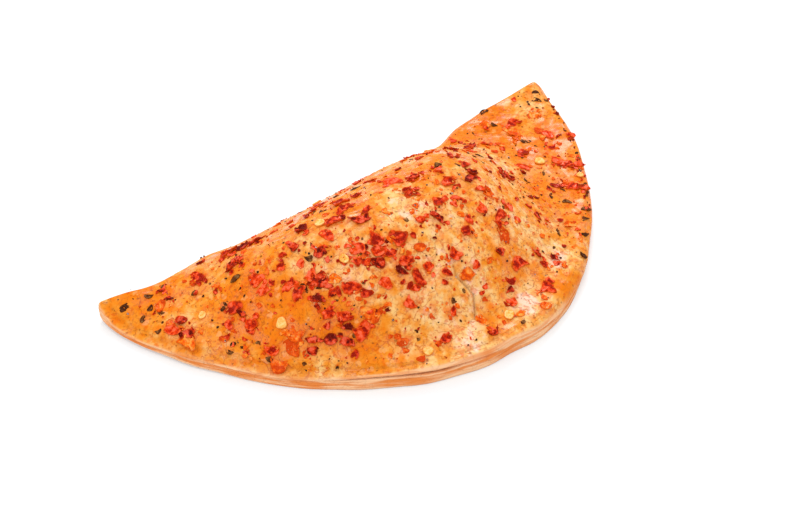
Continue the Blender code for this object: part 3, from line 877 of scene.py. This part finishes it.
def plus(tree, first, second):
    return mathNode(tree, "ADD", first, second)


def minus(tree, first, second):
    return mathNode(tree, "SUBTRACT", first, second)


def product(tree, first, second):
    return mathNode(tree, "MULTIPLY", first, second)


def rangeNode(tree, value, fromLow, fromHigh, toLow=0.0, toHigh=1.0):
    node = tree.nodes.new("ShaderNodeMapRange")
    node.interpolation_type = "SMOOTHSTEP"
    limits = {"From Min": fromLow, "From Max": fromHigh, "To Min": toLow, "To Max": toHigh}
    for label, number in limits.items():
        node.inputs[label].default_value = number
    tree.links.new(value, node.inputs["Value"])
    return node.outputs["Result"]


def mixColour(tree, factor, first, second):
    node = tree.nodes.new("ShaderNodeMix")
    node.data_type = "RGBA"
    for socket, value in ((node.inputs[0], factor), (node.inputs[6], first), (node.inputs[7], second)):
        if isinstance(value, (int, float)):
            socket.default_value = value
        elif isinstance(value, tuple):
            socket.default_value = (*value, 1.0)
        else:
            tree.links.new(value, socket)
    return node.outputs[2]


def attribute(tree, name):
    node = tree.nodes.new("ShaderNodeAttribute")
    node.attribute_name = name
    return node.outputs["Fac"]


def mottleGroup():
    # uneven colour, in patches and in fine specks, and a matching height
    group, start, end = nodeGroup(
        "mottle",
        [("Patch Size", "NodeSocketFloat", 0.006), ("Speck Size", "NodeSocketFloat", 0.0008)],
        [("Patches", "NodeSocketFloat"), ("Fine", "NodeSocketFloat"), ("Specks", "NodeSocketFloat"),
         ("Height", "NodeSocketFloat")])
    where = group.nodes.new("ShaderNodeTexCoord").outputs["Object"]

    def scaled(size):
        node = group.nodes.new("ShaderNodeVectorMath")
        node.operation = "SCALE"
        group.links.new(where, node.inputs[0])
        group.links.new(mathNode(group, "DIVIDE", 1.0, size), node.inputs["Scale"])
        return node.outputs[0]

    patches = noiseNode(group, 1.0, 3.0, scaled(start.outputs["Patch Size"])).outputs["Fac"]
    fine = noiseNode(group, 2.7, 2.0, scaled(start.outputs["Speck Size"])).outputs["Fac"]
    specks = noiseNode(group, 1.0, 2.0, scaled(start.outputs["Speck Size"])).outputs["Fac"]
    group.links.new(rangeNode(group, patches, 0.32, 0.68), end.inputs["Patches"])
    group.links.new(rangeNode(group, fine, 0.30, 0.70), end.inputs["Fine"])
    group.links.new(rangeNode(group, specks, 0.40, 0.70), end.inputs["Specks"])
    rough = plus(group, product(group, patches, 0.6), product(group, fine, 1.2))
    group.links.new(plus(group, rough, specks), end.inputs["Height"])
    return group


mottle = mottleGroup()


def newMaterial(name, roughness, coat, coatRoughness, specular=0.5):
    material = bpy.data.materials.new(name)
    material.use_nodes = True
    shader = material.node_tree.nodes["Principled BSDF"]
    shader.inputs["Roughness"].default_value = roughness
    shader.inputs["Coat Weight"].default_value = coat
    shader.inputs["Coat Roughness"].default_value = coatRoughness
    shader.inputs["Specular IOR Level"].default_value = specular
    return material, material.node_tree, shader


def placeMottle(tree, patchSize, speckSize):
    node = tree.nodes.new("ShaderNodeGroup")
    node.node_tree = mottle
    node.inputs["Patch Size"].default_value = patchSize
    node.inputs["Speck Size"].default_value = speckSize
    return node


def addBump(tree, shader, height, distance):
    bump = tree.nodes.new("ShaderNodeBump")
    bump.inputs["Distance"].default_value = distance
    bump.inputs["Strength"].default_value = 1.0
    tree.links.new(height, bump.inputs["Height"])
    tree.links.new(bump.outputs["Normal"], shader.inputs["Normal"])


def colour(red, green, blue):
    # from the 0 to 255 of a screen to the shader's linear values
    shares = (red / 255, green / 255, blue / 255)
    return tuple(c / 12.92 if c <= 0.04 else ((c + 0.055) / 1.055) ** 2.4 for c in shares)


# ---- the crust's glaze

glaze = {
    # the palest tone, which also paints the sheen where the glaze would catch the light
    "palestAndSheen": colour(244, 204, 176),
    "cream": colour(236, 186, 114),
    "pale": colour(234, 162, 78),
    "golden": colour(230, 138, 34),
    "deep": colour(228, 120, 4),
    # the painted shade along the wrinkle lines
    "line": colour(196, 84, 14),
    "brown": colour(146, 66, 16),
    # the painted shade in the pleat's crease and the seam
    "crease": colour(118, 46, 8),
    # the halo's colour: oil stain and painted shade round the flakes
    "stainAndShade": colour(226, 90, 8),
    "side": colour(240, 188, 142),
    "sideDeep": colour(226, 130, 60),
    "under": colour(186, 112, 56),
    # how baked a place is where each step starts and ends, and the colour it ends in
    "steps": ((-0.50, 0.0, "cream"), (0.0, 0.28, "pale"), (0.20, 0.60, "golden"), (0.55, 1.0, "deep")),
    # size, share of the places that have one, strength and colour. Most are baked spots of colour; the
    # brownish 1.3 mm spots also paint small shade
    "spotsAndSmallShade": (
        (3.4 * mm, 0.40, 0.45, colour(228, 98, 4)), (1.6 * mm, 0.25, 0.50, colour(206, 74, 2)),
        (2.6 * mm, 0.22, 0.30, colour(240, 190, 132)), (1.3 * mm, 0.34, 0.40, colour(200, 100, 40)),
        (1.0 * mm, 0.10, 0.55, colour(120, 50, 8)),
    ),
    "roughness": 0.50,
    "coat": (0.0, 0.70),  # where it is dullest and glossiest
    "coatRoughness": 0.24,
    "bump": 0.20 * mm,
}


def crustMaterial():
    g = glaze
    material, tree, shader = newMaterial("glazedCrust", g["roughness"], 0.0, g["coatRoughness"], 0.08)
    spots = placeMottle(tree, 2.8 * mm, 1.0 * mm)
    glossSpots = placeMottle(tree, 7.0 * mm, 1.6 * mm)
    uneven = plus(tree, product(tree, spots.outputs["Patches"], 0.42),
                  product(tree, spots.outputs["Fine"], 0.32))
    # the baked tone, which also carries painted sheen and painted shade
    tone = plus(tree, attribute(tree, "bakeAndPaintedLight"), minus(tree, uneven, 0.37))
    top = g["palestAndSheen"]
    for low, high, shade in g["steps"]:
        top = mixColour(tree, rangeNode(tree, tone, low, high), top, g[shade])
    top = mixColour(tree, product(tree, attribute(tree, "stainAndShade"), 0.34), top, g["stainAndShade"])
    for size, share, strength, spotAndShadeColour in g["spotsAndSmallShade"]:
        top = mixColour(tree, product(tree, driedSpots(tree, size, share), strength), top, spotAndShadeColour)
    lines = wrinkleLines(tree)
    wrinkleShadeMask = product(tree, product(tree, lines, glossSpots.outputs["Patches"]), 0.75)
    top = mixColour(tree, wrinkleShadeMask, top, g["line"])
    freckle = product(tree, rangeNode(tree, spots.outputs["Specks"], 0.66, 1.0), 0.30)
    top = mixColour(tree, freckle, top, g["brown"])
    layers = product(tree, rangeNode(tree, sideLayers(tree), 0.38, 0.62), 0.75)
    layered = plus(tree, layers, attribute(tree, "bakeAndPaintedLight"))
    edge = mixColour(tree, rangeNode(tree, layered, 0.15, 1.25), g["side"], g["sideDeep"])
    whole = mixColour(tree, attribute(tree, "side"), top, edge)
    # painted shade in the pleat's crease and the seam
    whole = mixColour(tree, product(tree, attribute(tree, "crease"), 0.80), whole, g["crease"])
    whole = mixColour(tree, attribute(tree, "under"), whole, g["under"])
    tree.links.new(whole, shader.inputs["Base Color"])
    dry = mathNode(tree, "MAXIMUM", attribute(tree, "side"), attribute(tree, "under"))
    gloss = product(tree, glossSpots.outputs["Patches"], glossSpots.outputs["Fine"])
    coat = product(tree, minus(tree, 1.0, dry), rangeNode(tree, gloss, 0.05, 0.60, *g["coat"]))
    tree.links.new(coat, shader.inputs["Coat Weight"])
    height = minus(tree, spots.outputs["Height"], product(tree, lines, 0.4))
    addBump(tree, shader, height, g["bump"])
    return material


def wrinkleLines(tree):
    # thin lines where a noise crosses its middle: grooves in the bump, and painted shade in the colour
    where = tree.nodes.new("ShaderNodeTexCoord").outputs["Object"]
    away = minus(tree, noiseNode(tree, 3.6 * mm, 2.5, where).outputs["Fac"], 0.5)
    return rangeNode(tree, mathNode(tree, "ABSOLUTE", away, 0.0), 0.0, 0.028, 1.0, 0.0)


def driedSpots(tree, size, share):
    # small uneven spots, over some of the places of a grid of that size
    where = tree.nodes.new("ShaderNodeTexCoord").outputs["Object"]
    bent = tree.nodes.new("ShaderNodeVectorMath")
    bent.operation = "MULTIPLY_ADD"
    tree.links.new(noiseNode(tree, size * 0.45, 1.0, where).outputs["Color"], bent.inputs[0])
    bent.inputs[1].default_value = (size * 0.9,) * 3
    tree.links.new(where, bent.inputs[2])
    cells = tree.nodes.new("ShaderNodeTexVoronoi")
    cells.inputs["Scale"].default_value = 1 / size
    tree.links.new(bent.outputs[0], cells.inputs["Vector"])
    parts = tree.nodes.new("ShaderNodeSeparateColor")
    tree.links.new(cells.outputs["Color"], parts.inputs["Color"])
    chosen = rangeNode(tree, parts.outputs["Red"], 1 - share - 0.02, 1 - share + 0.02)
    return product(tree, chosen, rangeNode(tree, cells.outputs["Distance"], 0.26, 0.46, 1.0, 0.0))


def sideLayers(tree):
    # thin layers of dough seen from the side: noise drawn out along the rim
    where = tree.nodes.new("ShaderNodeTexCoord").outputs["Object"]
    drawn = tree.nodes.new("ShaderNodeMapping")
    drawn.inputs["Scale"].default_value = (80, 80, 1000)
    tree.links.new(where, drawn.inputs["Vector"])
    return noiseNode(tree, 1.0, 3.0, drawn.outputs["Vector"]).outputs["Fac"]


crustPiece = ride(buildCrust(), crustMaterial())
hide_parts("pastry")
print("crust:", len(crustPiece.data.polygons), "faces")


# ---- the toppings' meshes

class Heap:
    # many small shapes as one mesh, with a tone for each, and how near its edge and how raised a point is,
    # which paints shade in its creases and highlight on its ridges
    def __init__(self):
        self.points, self.faces, self.tones, self.rims, self.foldShadeAndHighlight = [], [], [], [], []

    def add(self, matrix, shape, tone):
        points, faces, rims, foldShadeAndHighlight = shape
        start = len(self.points)
        self.points += [matrix @ Vector(p) for p in points]
        self.faces += [tuple(start + i for i in face) for face in faces]
        self.tones += [tone] * len(points)
        self.rims += rims
        self.foldShadeAndHighlight += foldShadeAndHighlight

    def piece(self, name):
        values = {"tone": self.tones, "edge": self.rims, "fold": self.foldShadeAndHighlight}
        return newPiece(name, self.points, self.faces, values)


def ringFaces(sides, rings):
    # a centre point, rings round it from the top to the foot, and a cap below
    faces = [(0, 1 + i, 1 + (i + 1) % sides) for i in range(sides)]
    for ring in range(rings - 1):
        a = 1 + ring * sides
        for i in range(sides):
            j = (i + 1) % sides
            faces.append((a + i, a + sides + i, a + sides + j, a + j))
    faces.append(tuple(1 + (rings - 1) * sides + i for i in reversed(range(sides))))
    return faces


def tornOutline(rng, corners, uneven, sides):
    # runs between uneven soft corners, filling -1 to 1 both ways
    marks = []
    for i in range(corners):
        angle = 2 * math.pi * (i + rng.uniform(-0.28, 0.28)) / corners
        radius = 1 - uneven * rng.random()
        marks.append((radius * math.cos(angle), radius * math.sin(angle)))
    points = []
    for k in range(sides):
        i, part = divmod(k * corners / sides, 1)
        (ax, ay), (bx, by) = marks[int(i)], marks[(int(i) + 1) % corners]
        jag = 1 + rng.uniform(-0.13, 0.13)
        points.append(((ax + (bx - ax) * part) * jag, (ay + (by - ay) * part) * jag))
    neighbours = zip(points[-1:] + points[:-1], points, points[1:] + points[:1])
    points = [tuple((a + 2 * b + c) / 4 for a, b, c in zip(*three)) for three in neighbours]
    wide = max(abs(x) for x, _ in points)
    high = max(abs(y) for _, y in points)
    return [(x / wide, y / high) for x, y in points]


def flakeShape(rng, length, width, look):
    # a thin torn sheet, creased and curled, whose middle is stuck to the crust
    large = length > 3.2 * mm
    sides = look["sides"] + 8 if large else look["sides"] if length > 1.5 * mm else look["sides"] - 6
    outlinePoints = tornOutline(rng, rng.randint(*look["corners"]), look["uneven"], sides)
    small = min(1.0, length / (4.5 * mm)) ** 0.6
    phase = rng.uniform(0, 50)
    lift = rng.uniform(*look["lift"]) * mm * small
    curl = rng.uniform(*look["curl"]) * mm * small
    tilt = rng.uniform(-1, 1) * look["tilt"] * mm * small
    bend = rng.uniform(-0.30, 0.30) * length
    thick = look["thick"] * mm * (0.5 + 0.5 * small)

    def creased(a, b):
        px, py = a * length / 2 / look["creaseSize"] / mm + phase, b * width / 2 / look["creaseSize"] / mm
        return abs(patchy(px, py, 1.0, phase)) + 0.60 * abs(patchy(px, py, 1 / 2.3, 3.0))

    def sheet(a, b):
        ruffle = look["crease"] * mm * small * (0.6 + 0.6 * (a * a + b * b))
        return lift + curl * b * b + tilt * a + ruffle * (0.30 - creased(a, b))

    def place(a, b, out, height):
        return a * out * length / 2, b * out * width / 2 + bend * (a * out) ** 2 - bend * 0.3, height

    outs = (0.20, 0.40, 0.58, 0.75, 0.90, 1.0) if large else (0.36, 0.68, 0.90, 1.0)
    points, rims, foldShadeAndHighlight = [place(0.0, 0.0, 1.0, sheet(0.0, 0.0))], [0.0], [1 - 2 * creased(0.0, 0.0)]
    for out in outs:
        for a, b in outlinePoints:
            points.append(place(a, b, out, sheet(a * out, b * out)))
            rims.append(out ** 3)
            foldShadeAndHighlight.append(1 - 2 * creased(a * out, b * out))
    for out, drop in ((0.99, thick), (0.62, None)):
        for a, b in outlinePoints:
            height = -0.5 * mm if drop is None else sheet(a, b) - drop
            points.append(place(a, b, out, height))
            rims.append(1.0)
            foldShadeAndHighlight.append(0.4)
    return points, ringFaces(sides, len(outs) + 2), rims, foldShadeAndHighlight


def seedShape(rng, length, width, look):
    # a flat oval, thick at one end and drawn out at the other, with a raised rim round a hollow
    proud = rng.uniform(*look["lift"]) * mm
    lean, phase = rng.uniform(-0.35, 0.35), rng.uniform(0, 50)
    points, rims = [(0.0, 0.0, proud * 0.66)], [0.0]
    for out, height in look["rings"]:
        for i in range(look["sides"]):
            angle = 2 * math.pi * i / look["sides"]
            edge = patchy(math.cos(angle) + phase, math.sin(angle), 1.0, 0.3)
            drawn = 1 + 0.22 * math.cos(angle) - 0.10 * math.cos(2 * angle) + 0.22 * edge
            px = math.cos(angle) * drawn * out * length / 2.4
            py = math.sin(angle) * drawn * out * width / 2.2
            uneven = 1 + 0.25 * patchy(px / (1.4 * mm) + phase, py / (1.4 * mm), 1.0, 0.7)
            points.append((px, py, proud * (height * uneven + lean * out * math.sin(angle + phase))))
            rims.append(out ** 4)
    return points, ringFaces(look["sides"], len(look["rings"])), rims, [0.5] * len(points)


def grainShape(rng, size, width, look):
    # a small uneven lump
    points, rims = [(0.0, 0.0, size * 0.42)], [0.3]
    for out, height in ((0.75, 0.30), (1.0, -0.05), (0.7, -0.45)):
        for i in range(6):
            angle = 2 * math.pi * (i + rng.uniform(-0.3, 0.3)) / 6
            reach = out * rng.uniform(0.65, 1.1)
            px, py = size / 2 * reach * math.cos(angle), width / 2 * reach * math.sin(angle)
            points.append((px, py, size * height))
            rims.append(0.5)
    return points, ringFaces(6, 3), rims, [0.5] * len(points)


# ---- the toppings' looks

def flakeMaterial(name, look):
    # tones run with each flake's own number and in patches over it, with painted shade in its creases and
    # painted highlight on its ridges, and its edge is darker
    material, tree, shader = newMaterial(name, look["roughness"], 0.0, 0.20, 0.05)
    spots = placeMottle(tree, look["patch"] * mm, 0.30 * mm)
    glossy = rangeNode(tree, spots.outputs["Patches"], 0.45, 0.95, 0.0, look["coat"])
    tree.links.new(glossy, shader.inputs["Coat Weight"])
    shift = product(tree, minus(tree, spots.outputs["Patches"], 0.5), look["patchiness"])
    foldShadeShift = product(tree, minus(tree, attribute(tree, "fold"), 0.5), 0.55)
    tone = mathNode(tree, "ADD", plus(tree, attribute(tree, "tone"), foldShadeShift), shift, True)
    ramp = tree.nodes.new("ShaderNodeValToRGB")
    tones = look["tones"]
    while len(ramp.color_ramp.elements) < len(tones):
        ramp.color_ramp.elements.new(0.5)
    for i, (element, value) in enumerate(zip(ramp.color_ramp.elements, tones)):
        element.position = i / (len(tones) - 1)
        element.color = (*colour(*value), 1.0)
    tree.links.new(tone, ramp.inputs["Fac"])
    # light specks painted as highlights
    highlightSpeck = product(tree, rangeNode(tree, spots.outputs["Specks"], 0.55, 1.0), look["specks"])
    body = mixColour(tree, highlightSpeck, ramp.outputs["Color"], colour(*look["highlightSpeck"]))
    rim = product(tree, rangeNode(tree, attribute(tree, "edge"), 0.35, 1.0), look["edgeMix"])
    body = mixColour(tree, rim, body, colour(*look["edge"]))
    tree.links.new(body, shader.inputs["Base Color"])
    addBump(tree, shader, spots.outputs["Height"], look["bump"] * mm)
    return material


redFlakes = {
    "shape": flakeShape, "kind": "red", "grow": 1.07, "sides": 18, "corners": (5, 9),
    "uneven": 0.55, "thick": 0.22, "lift": (0.22, 0.50), "curl": (-0.3, 0.6), "tilt": 0.18,
    "crease": 0.85, "creaseSize": 1.8,
    "count": 14, "sizes": (0.8, 2.4), "widths": (0.50, 0.90), "rimGap": 4.0, "seed": 21,
    "tones": ((146, 18, 0), (192, 34, 0), (214, 54, 0), (230, 70, 10), (244, 98, 60)),
    "patch": 1.8, "patchiness": 1.2, "specks": 0.20, "highlightSpeck": (250, 112, 76),
    "edge": (216, 84, 2), "edgeMix": 0.60, "roughness": 0.50, "coat": 0.30, "bump": 0.10,
}
darkSkins = {
    "shape": flakeShape, "kind": "dark", "sides": 18, "corners": (5, 9),
    "uneven": 0.60, "thick": 0.25, "lift": (0.30, 0.65), "curl": (-0.1, 0.8), "tilt": 0.25,
    "crease": 1.1, "creaseSize": 1.5,
    "count": 40, "sizes": (0.8, 2.2), "widths": (0.3, 0.7), "rimGap": 4.0, "seed": 22,
    "tones": ((96, 10, 0), (146, 22, 0), (190, 40, 0), (218, 62, 10), (236, 92, 58)),
    "patch": 2.2, "patchiness": 1.3, "specks": 0.25, "highlightSpeck": (214, 90, 70),
    "edge": (176, 48, 0), "edgeMix": 0.5, "roughness": 0.50, "coat": 0.28, "bump": 0.12,
}
orangeFlakes = {
    "shape": flakeShape, "kind": "orange", "grow": 1.05, "sides": 18, "corners": (5, 8),
    "uneven": 0.45, "thick": 0.20, "lift": (0.14, 0.34), "curl": (-0.2, 0.5), "tilt": 0.12,
    "crease": 1.0, "creaseSize": 1.4,
    "count": 230, "sizes": (0.9, 2.8), "widths": (0.50, 0.9), "rimGap": 3.0, "seed": 23,
    "tones": ((204, 62, 0), (222, 80, 0), (234, 94, 2), (238, 114, 12), (244, 150, 56)),
    "patch": 2.2, "patchiness": 1.0, "specks": 0.2, "highlightSpeck": (246, 160, 92),
    "edge": (206, 74, 0), "edgeMix": 0.50, "roughness": 0.45, "coat": 0.35, "bump": 0.08,
}
chilliSeeds = {
    "shape": seedShape, "kind": "seed", "sides": 22, "lift": (0.45, 0.70), "seed": 24,
    # how far out and how high each ring lies
    "rings": ((0.25, 0.68), (0.48, 0.80), (0.66, 0.95), (0.80, 0.98), (0.91, 0.84), (0.98, 0.55),
              (1.00, 0.25), (0.90, -0.60)),
    "tones": ((234, 158, 62), (238, 176, 88), (242, 198, 126), (238, 170, 78)),
    "patch": 1.3, "patchiness": 1.2, "specks": 0.3, "highlightSpeck": (252, 226, 176),
    # the brown edge is partly the seed's own colour and partly painted shade round its rim
    "edge": (222, 120, 28), "edgeMix": 0.9, "roughness": 0.50, "coat": 0.35, "bump": 0.03,
}
herbLeaves = {
    "shape": flakeShape, "kind": "herb", "sides": 14, "corners": (5, 8),
    "uneven": 0.55, "thick": 0.14, "lift": (0.10, 0.26), "curl": (-0.1, 0.4), "tilt": 0.12,
    "crease": 0.6, "creaseSize": 1.5,
    "count": 90, "sizes": (0.7, 1.7), "widths": (0.4, 0.85), "rimGap": 2.5, "seed": 25,
    "tones": ((62, 26, 6), (84, 38, 8), (112, 60, 20), (134, 100, 56)),
    "patch": 1.2, "patchiness": 0.7, "specks": 0.15, "highlightSpeck": (150, 116, 84),
    "edge": (84, 34, 4), "edgeMix": 0.4, "roughness": 0.60, "coat": 0.08, "bump": 0.05,
}
pepperGrains = {
    "shape": grainShape, "kind": None, "count": 290, "sizes": (0.3, 1.1), "widths": (0.7, 1.0),
    "weight": pepperWeight, "rimGap": 2.2, "seed": 31,
    # the whitish last tone paints glints on some grains
    "tones": ((26, 12, 8), (54, 22, 10), (90, 34, 10), (206, 180, 168)),
    "patch": 0.8, "patchiness": 0.5, "specks": 0.2, "highlightSpeck": (150, 120, 96),
    "edge": (40, 20, 8), "edgeMix": 0.3, "roughness": 0.55, "coat": 0.2, "bump": 0.03,
}
chilliDust = {
    "shape": grainShape, "kind": None, "count": 400, "sizes": (0.25, 1.0), "widths": (0.6, 1.0),
    "rimGap": 2.0, "seed": 32,
    "tones": ((160, 40, 0), (208, 66, 0), (232, 96, 10)),
    "patch": 0.8, "patchiness": 0.6, "specks": 0.2, "highlightSpeck": (250, 150, 80),
    "edge": (176, 40, 4), "edgeMix": 0.3, "roughness": 0.45, "coat": 0.3, "bump": 0.03,
}
toppings = {"redFlakes": redFlakes, "darkSkins": darkSkins, "orangeFlakes": orangeFlakes,
            "chilliSeeds": chilliSeeds, "herbLeaves": herbLeaves, "pepperGrains": pepperGrains,
            "chilliDust": chilliDust}


def buildTopping(name, look):
    rows = list(rowsByKind.get(look["kind"], ()))
    if "count" in look:
        rows += strewn(look, look["kind"] is not None)
    rng = random.Random(look["seed"] + 100)
    heap = Heap()
    for x, v, length, width, turn in rows:
        grow = look.get("grow", 1.0) if length > 3 * mm else 1.0
        shape = look["shape"](rng, length * grow, width * grow, look)
        heap.add(seat(x, v, turn), shape, rng.uniform(0.15, 0.85))
    piece = ride(heap.piece(name), flakeMaterial(name, look))
    print(name + ":", len(rows), "of them,", len(piece.data.polygons), "faces")


for toppingName, toppingLook in toppings.items():
    buildTopping(toppingName, toppingLook)


# ---- camera, floor and light

camera = {
    "azimuth": -38.28,
    "elevation": 42.2,
    "distance": 606.0 * mm,
    "aimRight": -3.4 * mm,
    "aimUp": 4.0 * mm,
    "lens": 85,
    "sensor": 36,
}


def direction(azimuth, elevation):
    # from the middle towards where that is seen or lit from
    turn, up = math.radians(azimuth), math.radians(elevation)
    return Vector((math.sin(turn) * math.cos(up), -math.cos(turn) * math.cos(up), math.sin(up)))


def buildCamera():
    c = camera
    back = direction(c["azimuth"], c["elevation"])
    right = Vector((0, 0, 1)).cross(back).normalized()
    data = bpy.data.cameras.new("camera")
    data.lens, data.sensor_width = c["lens"], c["sensor"]
    item = bpy.data.objects.new("camera", data)
    item.location = right * c["aimRight"] + back.cross(right) * c["aimUp"] + back * c["distance"]
    item.rotation_euler = (-back).to_track_quat("-Z", "Y").to_euler()
    bpy.context.scene.collection.objects.link(item)
    bpy.context.scene.camera = item


studio = {
    "floorSize": 6.0,
    "floorColour": (0.58, 0.62, 0.64),
    "floorGlow": 0.34,  # a lit table, which keeps the shadow faint
    "worldColour": (1.0, 1.0, 1.0),
    "worldStrength": 0.92,
    # name: azimuth and elevation it shines from, distance, size, power, colour
    "lights": {
        "back": (142, 43, 1.1, 0.45, 5.0, (1.0, 0.97, 0.95)),
        "top": (-30, 78, 1.2, 0.6, 2.8, (1.0, 1.0, 1.0)),
        "left": (-95, 35, 1.3, 0.8, 2.2, (1.0, 1.0, 1.0)),
    },
}


def buildStudio():
    size = studio["floorSize"] / 2
    corners = [(-size, -size, 0), (size, -size, 0), (size, size, 0), (-size, size, 0)]
    floor = newPiece("floor", corners, [(0, 1, 2, 3)])
    material, _, shader = newMaterial("floor", 0.6, 0.0, 0.0, 0.2)
    shader.inputs["Base Color"].default_value = (*studio["floorColour"], 1.0)
    shader.inputs["Emission Color"].default_value = (1.0, 1.0, 1.0, 1.0)
    shader.inputs["Emission Strength"].default_value = studio["floorGlow"]
    floor.data.materials.append(material)
    world = bpy.data.worlds.new("studio")
    world.use_nodes = True
    world.node_tree.nodes["Background"].inputs["Color"].default_value = (*studio["worldColour"], 1.0)
    world.node_tree.nodes["Background"].inputs["Strength"].default_value = studio["worldStrength"]
    bpy.context.scene.world = world
    for name, (azimuth, elevation, distance, width, power, tint) in studio["lights"].items():
        towards = direction(azimuth, elevation)
        data = bpy.data.lights.new(name, "AREA")
        data.shape, data.size, data.energy, data.color = "DISK", width, power, tint
        item = bpy.data.objects.new(name, data)
        item.location = towards * distance
        item.rotation_euler = (-towards).to_track_quat("-Z", "Y").to_euler()
        bpy.context.scene.collection.objects.link(item)
    bpy.context.scene.view_settings.view_transform = "Standard"


buildCamera()
buildStudio()
print("camera, floor and light set")
